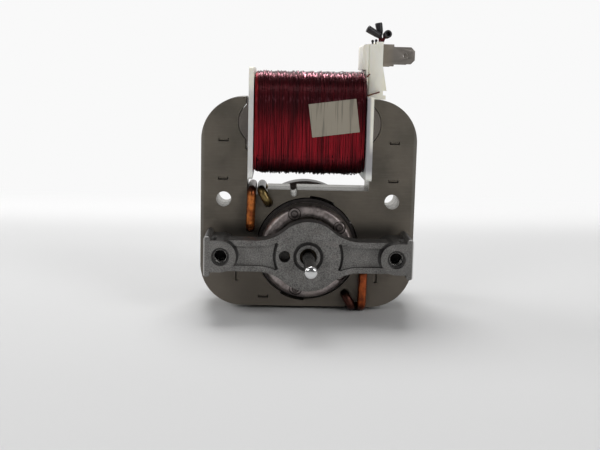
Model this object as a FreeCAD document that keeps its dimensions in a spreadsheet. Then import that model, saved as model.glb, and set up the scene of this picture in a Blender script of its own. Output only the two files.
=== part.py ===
import FreeCAD, Part
import math
import os
import Sketcher

# Open-frame shaded-pole fan motor.
# The frame's origin is the middle of the stator's foot: the lower edge of the laminations, half way
# through the stack. X runs along the foot, Z is up, and the shaft points along -Y.
# All sizes are in millimetres.

SIZES = {
    # stator laminations
    "stack_depth": 15.0,
    "corner_round": 12.0,
    "bore_round": 14.75,
    "pole_wall": 2.15,
    "pole_side": 2.55,
    "side_leg": 13.2,
    "window_high": 11.9,
    "leg_height": 14.0,
    "ear_round": 6.7,
    "ear_inset": 3.8,
    "ear_neck": 0.7,
    "ear_shelf_drop": 0.7,
    "key_gap": 0.05,
    "bore_relief": 0.5,
    "relief_start_angle": 60.0,
    "relief_end_angle": 88.0,
    "floor_slot_place": 4.05,
    "floor_slot_round": 1.0,
    "floor_slot_depth": 1.9,
    "screw_inset": 6.5,
    "mount_rise": 13.9,
    "mount_hole": 2.125,
    "dimple_long": 2.9,
    "dimple_wide": 0.9,
    "dimple_deep": 0.35,
    "dimple_inset": 6.3,
    "dimple_drop": 12.1,
    "dimple_rise": 5.9,
    "dimple_foot_inset": 10.5,
    "dimple_foot_height": 8.6,
    "dimple_sole_inset": 18.2,
    "dimple_sole_height": 2.7,
    # shading rings
    "ring_wire": 1.25,
    "ring_clear": 0.1,
    "ring_notch_room": 0.4,
    "ring_stand_out": 1.1,
    "ring_bend_room": 0.2,
    "long_ring_angle": 19.6,
    "short_ring_angle": 49.2,
    "ring_between": 0.25,
    # bobbin and winding
    "flange_gap": 0.2,
    "flange_left_wall": 1.35,
    "flange_right_wall": 1.7,
    "flange_overhang": 8.3,
    "flange_lift": 3.6,
    "flange_rise": 8.25,
    "flange_round": 1.0,
    "flange_cut_rise": 0.6,
    "tube_wall": 1.0,
    "core_clear": 0.1,
    "winding_side_inset": 1.3,
    "winding_low_inset": 1.7,
    "winding_top_inset": 0.95,
    "winding_round": 6.0,
    "winding_clear": 0.05,
    "winding_edge": 0.7,
    "tape_wide": 13.15,
    "tape_high": 9.15,
    "tape_thick": 0.12,
    "tape_lean": 7.8,
    "tape_inset": 8.95,
    "tape_rise": 1.85,
    # terminal block
    "block_in": 2.7,
    "block_out": 2.9,
    "block_flare": 4.2,
    "block_high": 16.0,
    "block_shoulder": 0.7,
    "block_shoulder_out": 1.2,
    "block_round": 0.9,
    "block_seat": 0.05,
    "block_skirt_top": 9.6,
    "block_skirt_low": 2.5,
    "wire_notch_high": 1.3,
    "wire_notch_deep": 1.0,
    "block_lip": 4.0,
    "block_groove": 0.35,
    "block_groove_in": 1.0,
    # terminals
    "tab_drop": 3.6,
    "tab_thick": 0.8,
    "tab_wide": 4.75,
    "tab_root": 6.1,
    "tab_root_out": 6.2,
    "tab_out": 12.1,
    "tab_in": 0.5,
    "tab_point": 1.1,
    "tab_hole": 0.75,
    "tab_hole_back": 2.6,
    "tab_inset": 2.5,
    "tab_clear": 0.05,
    # splices and leads
    "lead_wire": 0.17,
    "splice_wire": 0.3,
    "splice_lift": 0.25,
    "splice_out": 2.0,
    "splice_inset": 4.5,
    "splice_bare": 1.2,
    "splice_hidden": 2.9,
    "sleeve_bore": 0.5,
    "sleeve_round": 0.9,
    "sleeve_long": 3.9,
    # front bracket
    "hub_round": 9.65,
    "rotor_room": 1.8,
    "arm_half": 4.3,
    "arm_depth": 6.5,
    "arm_flare": 12.0,
    "hub_back": 0.8,
    "hub_back_round": 7.2,
    "boss_stand": 2.0,
    "boss_round": 4.3,
    "rib_out": 2.8,
    "rib_thick": 1.7,
    "rib_half": 5.6,
    "rib_notch_wide": 1.6,
    "rib_notch_deep": 1.2,
    "panel_deep": 1.0,
    "panel_wall": 1.6,
    "groove_wide": 0.75,
    "groove_deep": 1.5,
    "collar_round": 3.25,
    "collar_groove": 4.15,
    "collar_deep": 1.0,
    "nose_hole": 2.35,
    "side_hole": 1.6,
    "side_hole_place": 6.5,
    "side_hole_deep": 4.0,
    "tap_recess": 2.5,
    "tap_recess_deep": 1.2,
    "tap_hole": 1.65,
    "tap_floor": 1.3,
    "screw_hole": 1.5,
    "screw_reach": 5.5,
    "screw_tip_gap": 0.5,
    "screw_clear": 0.05,
    "screw_pass": 1.8,
    "screw_head": 3.1,
    "screw_head_high": 2.2,
    "screw_crown": 1.2,
    "screw_flat": 2.15,
    "screw_slot": 0.8,
    "screw_slot_long": 3.7,
    "screw_slot_deep": 1.0,
    # rear bracket
    "bell_gap": 7.4,
    "bell_root": 2.0,
    "bell_stand": 5.7,
    "bell_wall": 1.6,
    "bell_hub": 6.4,
    "bell_dish": 1.2,
    "bell_edge": 1.0,
    "shaft_end_room": 0.4,
    "rear_boss_stand": 0.9,
    # bearings
    "bush_round": 3.9,
    "bush_half": 2.5,
    "bush_nose": 4.4,
    "bush_clear": 0.03,
    "seat_ledge": 0.6,
    "seat_clear": 0.03,
    "pocket_wide": 1.3,
    "felt_clear": 0.08,
    "felt_long": 2.6,
    "retainer_thick": 0.4,
    "retainer_clear": 0.06,
    "retainer_notch": 0.7,
    # rotor
    "shaft_round": 1.6,
    "shaft_out": 21.7,
    "shaft_tip_chamfer": 0.45,
    "shaft_rear_room": 0.7,
    "shaft_neck_wide": 0.8,
    "shaft_neck_deep": 0.3,
    "air_gap": 0.35,
    "end_ring_inset": 1.0,
    "end_ring_wide": 4.7,
    "end_ring_high": 5.0,
    "end_ring_edge": 1.3,
    "bar_round": 1.1,
    "bar_inset": 2.4,
    "bar_sink": 0.5,
    "bar_count": 15.0,
    "mark_count": 5.0,
    "mark_inset": 2.1,
    "mark_angle": 38.0,
    "mark_round": 1.6,
    "mark_island": 1.1,
    "mark_deep": 0.5,
    "mark_dimple": 0.5,
    "washer_round": 2.9,
    "washer_thick": 0.5,
    "washer_gap": 0.1,
    "spacer_round": 2.6,
    "fit_clear": 0.02,
}

doc = FreeCAD.newDocument("fan_motor")
sheet = doc.addObject("Spreadsheet::Sheet", "Sizes")
for row, (alias, number) in enumerate(SIZES.items(), start=1):
    sheet.set(f"A{row}", alias)
    sheet.set(f"B{row}", str(number))
    sheet.setAlias(f"B{row}", alias)
doc.recompute()


class Size:
    """A length or angle: what it measures now, and the formula that ties it to the sheet."""

    def __init__(self, value, formula):
        self.value = value
        self.formula = formula

    def __add__(self, other):
        other = as_size(other)
        return Size(self.value + other.value, f"({self.formula} + {other.formula})")

    def __sub__(self, other):
        other = as_size(other)
        return Size(self.value - other.value, f"({self.formula} - {other.formula})")

    def __mul__(self, other):
        other = as_size(other)
        return Size(self.value * other.value, f"({self.formula} * {other.formula})")

    def __truediv__(self, other):
        other = as_size(other)
        return Size(self.value / other.value, f"({self.formula} / {other.formula})")

    def __radd__(self, other):
        return as_size(other) + self

    def __rsub__(self, other):
        return as_size(other) - self

    def __rmul__(self, other):
        return as_size(other) * self

    def __neg__(self):
        return Size(-self.value, f"(0 - {self.formula})")


def as_size(number):
    return number if isinstance(number, Size) else Size(float(number), repr(float(number)))


def size(alias):
    return Size(float(sheet.get(alias)), f"Sizes.{alias}")


def root(number):
    return Size(math.sqrt(number.value), f"sqrt({number.formula})")


def sine(angle):
    angle = as_size(angle)
    return Size(math.sin(math.radians(angle.value)), f"sin({angle.formula} * 1 deg)")


def cosine(angle):
    angle = as_size(angle)
    return Size(math.cos(math.radians(angle.value)), f"cos({angle.formula} * 1 deg)")


def polar(radius, angle):
    return radius * cosine(angle), radius * sine(angle)


def bind(thing, setting, number):
    """Ties a setting of an object to a formula on the sheet."""
    thing.setExpression(setting, as_size(number).formula)


def new_body(name):
    body = doc.addObject("PartDesign::Body", name)
    body.Label = name
    return body


def new_sketch(body, role, depth=0, rise=0):
    """A sketch on one of the body's own planes, moved depth along its normal and rise up it."""
    sketch = body.newObject("Sketcher::SketchObject", f"{body.Name}_sketch")
    plane = next(item for item in body.Origin.OriginFeatures if item.Role == role)
    sketch.AttachmentSupport = (plane, [""])
    sketch.MapMode = "FlatFace"
    bind(sketch, "AttachmentOffset.Base.z", depth)
    bind(sketch, "AttachmentOffset.Base.y", rise)
    return sketch


def face_sketch(body, y, rise=0):
    """A sketch seen from the shaft side, at the given Y. Its pads grow towards the viewer."""
    return new_sketch(body, "XZ_Plane", -as_size(y), rise)


def place_point(sketch, geometry, point, x, y):
    for kind, number in (("DistanceX", as_size(x)), ("DistanceY", as_size(y))):
        index = sketch.addConstraint(Sketcher.Constraint(kind, geometry, point, number.value))
        sketch.setExpression(f"Constraints[{index}]", number.formula)


def draw_circle(sketch, x, y, radius):
    x, y, radius = as_size(x), as_size(y), as_size(radius)
    centre = FreeCAD.Vector(x.value, y.value, 0)
    circle = sketch.addGeometry(Part.Circle(centre, FreeCAD.Vector(0, 0, 1), radius.value), False)
    place_point(sketch, circle, 3, x, y)
    index = sketch.addConstraint(Sketcher.Constraint("Radius", circle, radius.value))
    sketch.setExpression(f"Constraints[{index}]", radius.formula)


class Outline:
    """A chain of lines and arcs, drawn point by point. Every corner is placed by a formula."""

    START, END, CENTRE = range(1, 4)

    def __init__(self, sketch, x, y):
        self.sketch = sketch
        self.points = [(as_size(x), as_size(y))]
        self.arcs = []

    def line(self, x, y):
        self.points.append((as_size(x), as_size(y)))
        self.arcs.append(None)
        return self

    def arc(self, x, y, centre, turn):
        """An arc to (x, y) about centre; turn is 1 for anticlockwise and -1 for clockwise."""
        self.points.append((as_size(x), as_size(y)))
        self.arcs.append((as_size(centre[0]), as_size(centre[1]), turn))
        return self

    def close(self, centre=None, turn=1):
        self.arcs.append(None if centre is None else (as_size(centre[0]), as_size(centre[1]), turn))
        self.points.append(self.points[0])
        return self.draw(closed=True)

    def draw(self, closed=False):
        ends = []
        for first, last, arc in zip(self.points, self.points[1:], self.arcs):
            ends.append(self.add_line(first, last) if arc is None else self.add_arc(first, last, arc))
        for number, (geometry, start, _) in enumerate(ends):
            place_point(self.sketch, geometry, start, *self.points[number])
            if number or closed:
                before, _, finish = ends[number - 1]
                self.sketch.addConstraint(
                    Sketcher.Constraint("Coincident", before, finish, geometry, start))
        if not closed:
            geometry, _, finish = ends[-1]
            place_point(self.sketch, geometry, finish, *self.points[-1])
        return self.sketch

    def add_line(self, first, last):
        start = FreeCAD.Vector(first[0].value, first[1].value, 0)
        finish = FreeCAD.Vector(last[0].value, last[1].value, 0)
        return self.sketch.addGeometry(Part.LineSegment(start, finish), False), self.START, self.END

    def add_arc(self, first, last, arc):
        middle_x, middle_y, turn = arc
        start = math.atan2(first[1].value - middle_y.value, first[0].value - middle_x.value)
        finish = math.atan2(last[1].value - middle_y.value, last[0].value - middle_x.value)
        radius = math.hypot(first[0].value - middle_x.value, first[1].value - middle_y.value)
        circle = Part.Circle(
            FreeCAD.Vector(middle_x.value, middle_y.value, 0), FreeCAD.Vector(0, 0, 1), radius)
        low, high = (start, finish) if turn > 0 else (finish, start)
        if high <= low:
            high += 2 * math.pi
        geometry = self.sketch.addGeometry(Part.ArcOfCircle(circle, low, high), False)
        flat = abs(last[0].value - first[0].value) >= abs(last[1].value - first[1].value)
        kind, number = ("DistanceY", middle_y) if flat else ("DistanceX", middle_x)
        index = self.sketch.addConstraint(
            Sketcher.Constraint(kind, geometry, self.CENTRE, number.value))
        self.sketch.setExpression(f"Constraints[{index}]", number.formula)
        return (geometry, self.START, self.END) if turn > 0 else (geometry, self.END, self.START)


def draw_rectangle(sketch, left, low, right, top):
    return Outline(sketch, left, low).line(right, low).line(right, top).line(left, top).close()


def draw_round_rectangle(sketch, half_x, low, top, radius):
    """A rectangle about the upright axis, with rounded corners."""
    half_x, low, top, radius = as_size(half_x), as_size(low), as_size(top), as_size(radius)
    right, left = half_x - radius, radius - half_x
    under, over = low + radius, top - radius
    outline = Outline(sketch, left, low)
    outline.line(right, low).arc(half_x, under, (right, under), 1)
    outline.line(half_x, over).arc(right, top, (right, over), 1)
    outline.line(left, top).arc(-half_x, over, (left, over), 1)
    return outline.line(-half_x, under).close((left, under), 1)


def pad(body, sketch, length, back=False):
    feature = body.newObject("PartDesign::Pad", f"{body.Name}_pad")
    feature.Profile = sketch
    feature.Reversed = back
    bind(feature, "Length", length)
    return feature


def pocket(body, sketch, depth=None, back=False):
    """A cut away from the sketch, or right through where no depth is given."""
    feature = body.newObject("PartDesign::Pocket", f"{body.Name}_pocket")
    feature.Profile = sketch
    feature.Reversed = back
    if depth is None:
        feature.Type = "ThroughAll"
    else:
        bind(feature, "Length", depth)
    return feature


def turned(body, outline_points, kind="PartDesign::Revolution"):
    """A solid or a groove turned about the shaft line, from (y, radius) corners."""
    sketch = new_sketch(body, "YZ_Plane", 0, AXIS)
    first, *rest = outline_points
    outline = Outline(sketch, *first)
    for corner in rest:
        if len(corner) == 2:
            outline.line(*corner)
        else:
            outline.arc(*corner)
    outline.close()
    feature = body.newObject(kind, f"{body.Name}_turned")
    feature.Profile = sketch
    feature.ReferenceAxis = (sketch, ["H_Axis"])
    feature.Angle = 360
    return feature


def finish_body(body):
    doc.recompute()
    return body


def turn_to_rear(body):
    """Turns a piece made for the shaft side half round, to the rear side."""
    body.Placement = FreeCAD.Placement(
        FreeCAD.Vector(0, 0, 0), FreeCAD.Rotation(FreeCAD.Vector(0, 0, 1), 180))
    return body


HALF_STACK = size("stack_depth") / 2
FRONT = -HALF_STACK
AXIS = size("bore_round") + size("pole_wall")
WINDOW = size("bore_round") + size("pole_side")
HALF_WIDTH = WINDOW + size("side_leg")
WINDOW_FLOOR = AXIS * 2
LEG_LOW = WINDOW_FLOOR + size("window_high")
LEG_MIDDLE = LEG_LOW + size("leg_height") / 2
HEIGHT = LEG_LOW + size("leg_height")
EAR_NECK = WINDOW + size("ear_neck")
EAR_SIDE = WINDOW - size("ear_inset")
SCREW_SIDE = HALF_WIDTH - size("screw_inset")
MOUNT_HEIGHT = AXIS + size("mount_rise")
RING_EDGE = {"long": WINDOW - size("ring_wire")}
RING_EDGE["short"] = RING_EDGE["long"] - size("ring_wire") * 2 - size("ring_between")
NOTCH_DEEP = size("ring_wire") * 2 - size("ring_stand_out") + size("ring_clear")
NOTCH_NEAR = RING_EDGE["short"] - size("ring_wire") - size("ring_clear") - size("ring_notch_room")
NOTCH_FAR = WINDOW + size("ring_clear")
TUBE_HALF = HALF_STACK + size("core_clear") + size("tube_wall")
TUBE_LOW = LEG_LOW - size("core_clear") - size("tube_wall")
TUBE_TOP = HEIGHT + size("core_clear") + size("tube_wall")
FLANGE_OUT = WINDOW - size("flange_gap")
FLANGE_HALF = HALF_STACK + size("flange_overhang")
FLANGE_LOW = WINDOW_FLOOR + size("flange_lift")
FLANGE_TOP = HEIGHT + size("flange_rise")
WINDING_LEFT = size("flange_left_wall") + size("winding_clear") - FLANGE_OUT
WINDING_RIGHT = FLANGE_OUT - size("flange_right_wall") - size("winding_clear")
WINDING_HALF = FLANGE_HALF - size("winding_side_inset")
BLOCK_TOP = HEIGHT + size("block_high")
TAB_MIDDLE = BLOCK_TOP - size("tab_drop")
TAB_START = FLANGE_OUT - size("tab_in")
TAB_SIDE = HALF_STACK - size("tab_inset")
HUB_DEPTH = size("arm_depth") + size("hub_back")
HUB_FACE = size("end_ring_high") + size("rotor_room") + size("arm_depth")
BOSS_FACE = HUB_FACE + size("boss_stand")
REAR_BOSS_FACE = HUB_FACE + size("rear_boss_stand")
SCREW_ROOM = size("screw_reach") + size("screw_tip_gap")
SHAFT = size("shaft_round")
SHAFT_REAR = HUB_FACE - size("shaft_rear_room")
BUSH = size("bush_round")
BUSH_MIDDLE = FRONT - HUB_FACE + size("bush_nose")
SEAT = BUSH - size("seat_ledge")
POCKET = BUSH + size("pocket_wide")
ROTOR = size("bore_round") - size("air_gap")
END_RING = ROTOR - size("end_ring_inset")


def ring_slot(which, side):
    """Middle of the slot that a shading ring passes through; side is -1 upper left, 1 lower right."""
    angle = size(f"{which}_ring_angle")
    across, up = polar(WINDOW, angle)
    return across * side, AXIS - up * side


def dimple(sketch, x, z, half_x, half_z):
    draw_rectangle(sketch, x - half_x, z - half_z, x + half_x, z + half_z)


def draw_dimples(sketch):
    """The interlock marks: lying ones by the window and the sole, standing ones by the foot."""
    half_long = size("dimple_long") / 2
    half_wide = size("dimple_wide") / 2
    leg_side = HALF_WIDTH - size("dimple_inset")
    foot_side = HALF_WIDTH - size("dimple_foot_inset")
    sole_side = HALF_WIDTH - size("dimple_sole_inset")
    for side in (-1, 1):
        for height in (HEIGHT - size("dimple_drop"), MOUNT_HEIGHT + size("dimple_rise")):
            dimple(sketch, leg_side * side, height, half_long, half_wide)
        dimple(sketch, foot_side * side, size("dimple_foot_height"), half_wide, half_long)
    dimple(sketch, -sole_side, size("dimple_sole_height"), half_long, half_wide)
    return sketch


def make_stator_stack():
    body = new_body("stator_stack")
    corner = size("corner_round")
    flat = HALF_WIDTH - corner
    neck, ear_side = EAR_NECK, EAR_SIDE
    ear = size("ear_round")
    rise = root(ear * ear - (neck - ear_side) * (neck - ear_side))
    shelf = LEG_LOW - size("ear_shelf_drop")
    slot = size("floor_slot_place")
    slot_round = size("floor_slot_round")
    slot_middle = WINDOW_FLOOR - size("floor_slot_depth") + slot_round
    sketch = face_sketch(body, HALF_STACK)
    outline = Outline(sketch, -flat, 0)
    outline.line(NOTCH_NEAR, 0).line(NOTCH_NEAR, NOTCH_DEEP)
    outline.line(NOTCH_FAR, NOTCH_DEEP).line(NOTCH_FAR, 0)
    outline.line(flat, 0).arc(HALF_WIDTH, corner, (flat, corner), 1)
    outline.line(HALF_WIDTH, HEIGHT - corner).arc(flat, HEIGHT, (flat, HEIGHT - corner), 1)
    outline.line(neck, HEIGHT).line(neck, LEG_MIDDLE + rise)
    outline.arc(neck, LEG_MIDDLE - rise, (ear_side, LEG_MIDDLE), -1)
    outline.line(neck, shelf).line(WINDOW, shelf).line(WINDOW, WINDOW_FLOOR)
    outline.line(slot_round - slot, WINDOW_FLOOR).line(slot_round - slot, slot_middle)
    outline.arc(-slot_round - slot, slot_middle, (-slot, slot_middle), -1)
    outline.line(-slot_round - slot, WINDOW_FLOOR).line(-NOTCH_NEAR, WINDOW_FLOOR)
    outline.line(-NOTCH_NEAR, WINDOW_FLOOR - NOTCH_DEEP)
    outline.line(-NOTCH_FAR, WINDOW_FLOOR - NOTCH_DEEP)
    outline.line(-NOTCH_FAR, shelf).line(-neck, shelf).line(-neck, LEG_MIDDLE - rise)
    outline.arc(-neck, LEG_MIDDLE + rise, (-ear_side, LEG_MIDDLE), -1)
    outline.line(-neck, HEIGHT).line(-flat, HEIGHT)
    outline.arc(-HALF_WIDTH, HEIGHT - corner, (-flat, HEIGHT - corner), 1)
    outline.line(-HALF_WIDTH, corner).close((-flat, corner), 1)
    pad(body, sketch, size("stack_depth"))

    bore = face_sketch(body, FRONT, AXIS)
    small = size("bore_round")
    wide = small + size("bore_relief")
    first, second = size("relief_start_angle"), size("relief_end_angle")
    hub = (0, 0)
    turn = Outline(bore, *polar(small, first - 180))
    turn.line(*polar(wide, first - 180)).arc(*polar(wide, second - 180), hub, 1)
    turn.line(*polar(small, second - 180)).arc(*polar(small, first), hub, 1)
    turn.line(*polar(wide, first)).arc(*polar(wide, second), hub, 1)
    turn.line(*polar(small, second)).close(hub, 1)
    pocket(body, bore)

    holes = face_sketch(body, FRONT)
    for side in (-1, 1):
        draw_circle(holes, SCREW_SIDE * side, MOUNT_HEIGHT, size("mount_hole"))
        draw_circle(holes, SCREW_SIDE * side, AXIS, size("screw_pass"))
        for which in ("long", "short"):
            draw_circle(holes, *ring_slot(which, side), size("ring_wire") + size("ring_clear"))
    pocket(body, holes)

    pocket(body, draw_dimples(face_sketch(body, FRONT)), size("dimple_deep"))
    pad(body, draw_dimples(face_sketch(body, HALF_STACK)), size("dimple_deep"), back=True)
    return finish_body(body)


def make_coil_core():
    body = new_body("coil_core")
    neck, ear_side = EAR_NECK - size("key_gap"), EAR_SIDE
    ear = size("ear_round") - size("key_gap")
    rise = root(ear * ear - (neck - ear_side) * (neck - ear_side))
    sketch = face_sketch(body, HALF_STACK)
    outline = Outline(sketch, -neck, LEG_LOW)
    outline.line(neck, LEG_LOW).line(neck, LEG_MIDDLE - rise)
    outline.arc(neck, LEG_MIDDLE + rise, (ear_side, LEG_MIDDLE), 1)
    outline.line(neck, HEIGHT).line(-neck, HEIGHT).line(-neck, LEG_MIDDLE + rise)
    outline.arc(-neck, LEG_MIDDLE - rise, (-ear_side, LEG_MIDDLE), 1).close()
    pad(body, sketch, size("stack_depth"))
    return finish_body(body)


def make_shading_ring(name, which, side):
    """A closed loop of round wire: through its slot, up the face and over the pole's edge."""
    body = new_body(name)
    wire = size("ring_wire")
    bend = wire + size("ring_bend_room")
    slot_x, slot_z = ring_slot(which, side)
    edge_x = RING_EDGE[which] * side
    reach = size("ring_stand_out") - wire
    edge_z = (WINDOW_FLOOR if side < 0 else as_size(0)) - reach * side
    run_x, run_z = edge_x - slot_x, edge_z - slot_z
    length = root(run_x * run_x + run_z * run_z)
    out = HALF_STACK + wire + size("ring_clear")
    path = new_sketch(body, "YZ_Plane")
    loop = Outline(path, -out, bend).line(-out, length - bend)
    loop.arc(bend - out, length, (bend - out, length - bend), -1).line(out - bend, length)
    loop.arc(out, length - bend, (out - bend, length - bend), -1).line(out, bend)
    loop.arc(out - bend, 0, (out - bend, bend), -1).line(bend - out, 0)
    loop.close((bend - out, bend), -1)
    profile = new_sketch(body, "XY_Plane", bend)
    draw_circle(profile, 0, -out, wire)
    pipe = body.newObject("PartDesign::AdditivePipe", f"{name}_pipe")
    pipe.Profile = profile
    pipe.Spine = (path, [])
    lean = math.degrees(math.atan2(run_x.value, run_z.value))
    body.Placement = FreeCAD.Placement(
        FreeCAD.Vector(slot_x.value, 0, slot_z.value), FreeCAD.Rotation(FreeCAD.Vector(0, 1, 0), lean))
    bind(body, "Placement.Base.x", slot_x)
    bind(body, "Placement.Base.z", slot_z)
    body.setExpression("Placement.Rotation.Angle", f"atan2({run_x.formula}; {run_z.formula})")
    return finish_body(body)


def draw_flange(sketch):
    return draw_round_rectangle(sketch, FLANGE_HALF, FLANGE_LOW, FLANGE_TOP, size("flange_round"))


def make_terminal_block(body):
    """The block stands on the frame's shoulder, with a wire notch above its lip."""
    seat = HEIGHT + size("block_seat")
    left, right = FLANGE_OUT - size("block_in"), FLANGE_OUT + size("block_out")
    flare, lip = FLANGE_OUT + size("block_flare"), FLANGE_OUT + size("block_lip")
    shoulder = FLANGE_OUT + size("block_shoulder_out")
    low_top = BLOCK_TOP - size("block_shoulder")
    edge = size("block_round")
    inside = FLANGE_OUT - size("flange_right_wall")
    skirt_low = HEIGHT + size("block_skirt_low")
    notch_low = skirt_low - size("wire_notch_high")
    notch_side = flare - size("wire_notch_deep")
    over_winding = FLANGE_TOP - size("winding_clear")
    sketch = face_sketch(body, HALF_STACK)
    outline = Outline(sketch, inside, seat).line(lip, seat)
    outline.line(lip, notch_low).line(notch_side, notch_low)
    outline.line(notch_side, skirt_low).line(flare, skirt_low)
    outline.line(right, HEIGHT + size("block_skirt_top")).line(right, BLOCK_TOP)
    outline.line(shoulder, BLOCK_TOP).line(shoulder, low_top)
    outline.line(left + edge, low_top).arc(left, low_top - edge, (left + edge, low_top - edge), 1)
    outline.line(left, over_winding).line(inside, over_winding).close()
    pad(body, sketch, size("stack_depth"))


def make_bobbin():
    body = new_body("bobbin")
    pad(body, draw_flange(new_sketch(body, "YZ_Plane", -FLANGE_OUT)), size("flange_left_wall"))
    right = new_sketch(body, "YZ_Plane", FLANGE_OUT - size("flange_right_wall"))
    pad(body, draw_flange(right), size("flange_right_wall"))
    tube = new_sketch(body, "YZ_Plane", -FLANGE_OUT)
    draw_rectangle(tube, -TUBE_HALF, TUBE_LOW, TUBE_HALF, TUBE_TOP)
    pad(body, tube, FLANGE_OUT * 2)

    corner = new_sketch(body, "YZ_Plane", FLANGE_OUT)
    beyond = size("flange_round")
    draw_rectangle(corner, -FLANGE_HALF - beyond, HEIGHT + size("flange_cut_rise"),
                   -HALF_STACK, FLANGE_TOP + beyond)
    pocket(body, corner, size("flange_right_wall"))
    make_terminal_block(body)

    wall = size("tube_wall")
    core = new_sketch(body, "YZ_Plane", FLANGE_OUT)
    draw_rectangle(core, wall - TUBE_HALF, TUBE_LOW + wall, TUBE_HALF - wall, TUBE_TOP - wall)
    pocket(body, core, FLANGE_OUT * 2)

    groove = face_sketch(body, FRONT)
    middle, half = FLANGE_OUT - size("block_groove_in"), size("block_groove") / 2
    draw_rectangle(groove, middle - half, TUBE_TOP, middle + half, BLOCK_TOP)
    pocket(body, groove, size("block_groove"))

    flare, clear = FLANGE_OUT + size("block_flare"), size("tab_clear")
    half_thick, half_root = size("tab_thick") / 2 + clear, size("tab_root") / 2 + clear
    slots = new_sketch(body, "YZ_Plane", flare)
    for side in (-1, 1):
        place = TAB_SIDE * side
        draw_rectangle(slots, place - half_thick, TAB_MIDDLE - half_root,
                       place + half_thick, TAB_MIDDLE + half_root)
    pocket(body, slots, flare - TAB_START + clear)
    return finish_body(body)


def make_winding():
    """The wire's outer shape, rounded over at both ends, with the bobbin's tube cut out of it."""
    body = new_body("winding")
    clear = size("winding_clear")
    low, top = FLANGE_LOW + size("winding_low_inset"), FLANGE_TOP - size("winding_top_inset")
    outside = new_sketch(body, "YZ_Plane", WINDING_LEFT)
    draw_round_rectangle(outside, WINDING_HALF, low, top, size("winding_round"))
    coil = pad(body, outside, WINDING_RIGHT - WINDING_LEFT)
    doc.recompute()
    ends = [
        f"Face{number}"
        for number, face in enumerate(coil.Shape.Faces, start=1)
        if abs(face.normalAt(0, 0).x) > 0.5
    ]
    rounding = body.newObject("PartDesign::Fillet", "winding_rim")
    rounding.Base = (coil, ends)
    bind(rounding, "Radius", size("winding_edge"))
    hole = new_sketch(body, "YZ_Plane", WINDING_RIGHT)
    draw_rectangle(hole, -TUBE_HALF - clear, TUBE_LOW - clear, TUBE_HALF + clear, TUBE_TOP + clear)
    pocket(body, hole)
    return finish_body(body)


def make_winding_tape():
    body = new_body("winding_tape")
    sketch = new_sketch(body, "XZ_Plane")
    half_wide, half_high = size("tape_wide") / 2, size("tape_high") / 2
    draw_rectangle(sketch, -half_wide, -half_high, half_wide, half_high)
    pad(body, sketch, size("tape_thick"))
    body.Placement = FreeCAD.Placement(
        FreeCAD.Vector(0, 0, 0), FreeCAD.Rotation(FreeCAD.Vector(0, 1, 0), -size("tape_lean").value))
    bind(body, "Placement.Base.x", WINDING_RIGHT - size("tape_inset"))
    bind(body, "Placement.Base.y", -WINDING_HALF)
    bind(body, "Placement.Base.z", LEG_MIDDLE + size("tape_rise"))
    bind(body, "Placement.Rotation.Angle", -size("tape_lean"))
    return finish_body(body)


def make_terminal(name, side):
    """A blade with a wide root that seats in the block, a pointed tip and a locking hole."""
    body = new_body(name)
    half_tab, half_root = size("tab_wide") / 2, size("tab_root") / 2
    start, middle = TAB_START, TAB_MIDDLE
    step, end = FLANGE_OUT + size("tab_root_out"), FLANGE_OUT + size("tab_out")
    point = size("tab_point")
    back = TAB_SIDE * side + size("tab_thick") / 2
    sketch = face_sketch(body, back)
    outline = Outline(sketch, start, middle - half_root).line(step, middle - half_root)
    outline.line(step, middle - half_tab).line(end - point, middle - half_tab)
    outline.line(end, middle - half_tab + point).line(end, middle + half_tab - point)
    outline.line(end - point, middle + half_tab).line(step, middle + half_tab)
    outline.line(step, middle + half_root).line(start, middle + half_root).close()
    draw_circle(sketch, end - size("tab_hole_back"), middle, size("tab_hole"))
    pad(body, sketch, size("tab_thick"))
    return finish_body(body)


def make_rod(name, radius, length):
    rod = doc.addObject("Part::Cylinder", name)
    rod.Label = name
    bind(rod, "Radius", radius)
    bind(rod, "Height", length)
    return rod


def stand(piece, foot, direction, along=0):
    """Stands a piece made up the Z axis on foot, leaning along direction and moved up it."""
    lean = FreeCAD.Vector(*direction).normalize()
    piece.Placement = FreeCAD.Placement(
        FreeCAD.Vector(0, 0, 0), FreeCAD.Rotation(FreeCAD.Vector(0, 0, 1), lean))
    for letter, place, step in zip("xyz", foot, lean):
        bind(piece, f"Placement.Base.{letter}", place + as_size(along) * step)
    return piece


def make_lead(name, first, last):
    """A short stretch of winding wire, laid straight from the coil to the block."""
    run = FreeCAD.Vector(*last) - FreeCAD.Vector(*first)
    foot = (FLANGE_OUT + first[0], FRONT + first[1], HEIGHT + first[2])
    return stand(make_rod(name, size("lead_wire"), run.Length), foot, run)


def make_splice(which, across, back, direction):
    """A bare stub of wire that stands on the block's top, with a sleeve over its end."""
    foot = (FLANGE_OUT + size("splice_out") + across, FRONT + size("splice_inset") + back,
            BLOCK_TOP + size("splice_lift"))
    bare = size("splice_bare")
    stub = make_rod(f"splice_wire_{which}", size("splice_wire"), bare + size("splice_hidden"))
    sleeve = doc.addObject("Part::Cut", f"splice_sleeve_{which}")
    sleeve.Label = sleeve.Name
    sleeve.Base = make_rod(f"sleeve_skin_{which}", size("sleeve_round"), size("sleeve_long"))
    sleeve.Tool = make_rod(f"sleeve_hole_{which}", size("sleeve_bore"), size("sleeve_long"))
    return [stand(stub, foot, direction), stand(sleeve, foot, direction, bare)]


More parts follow.
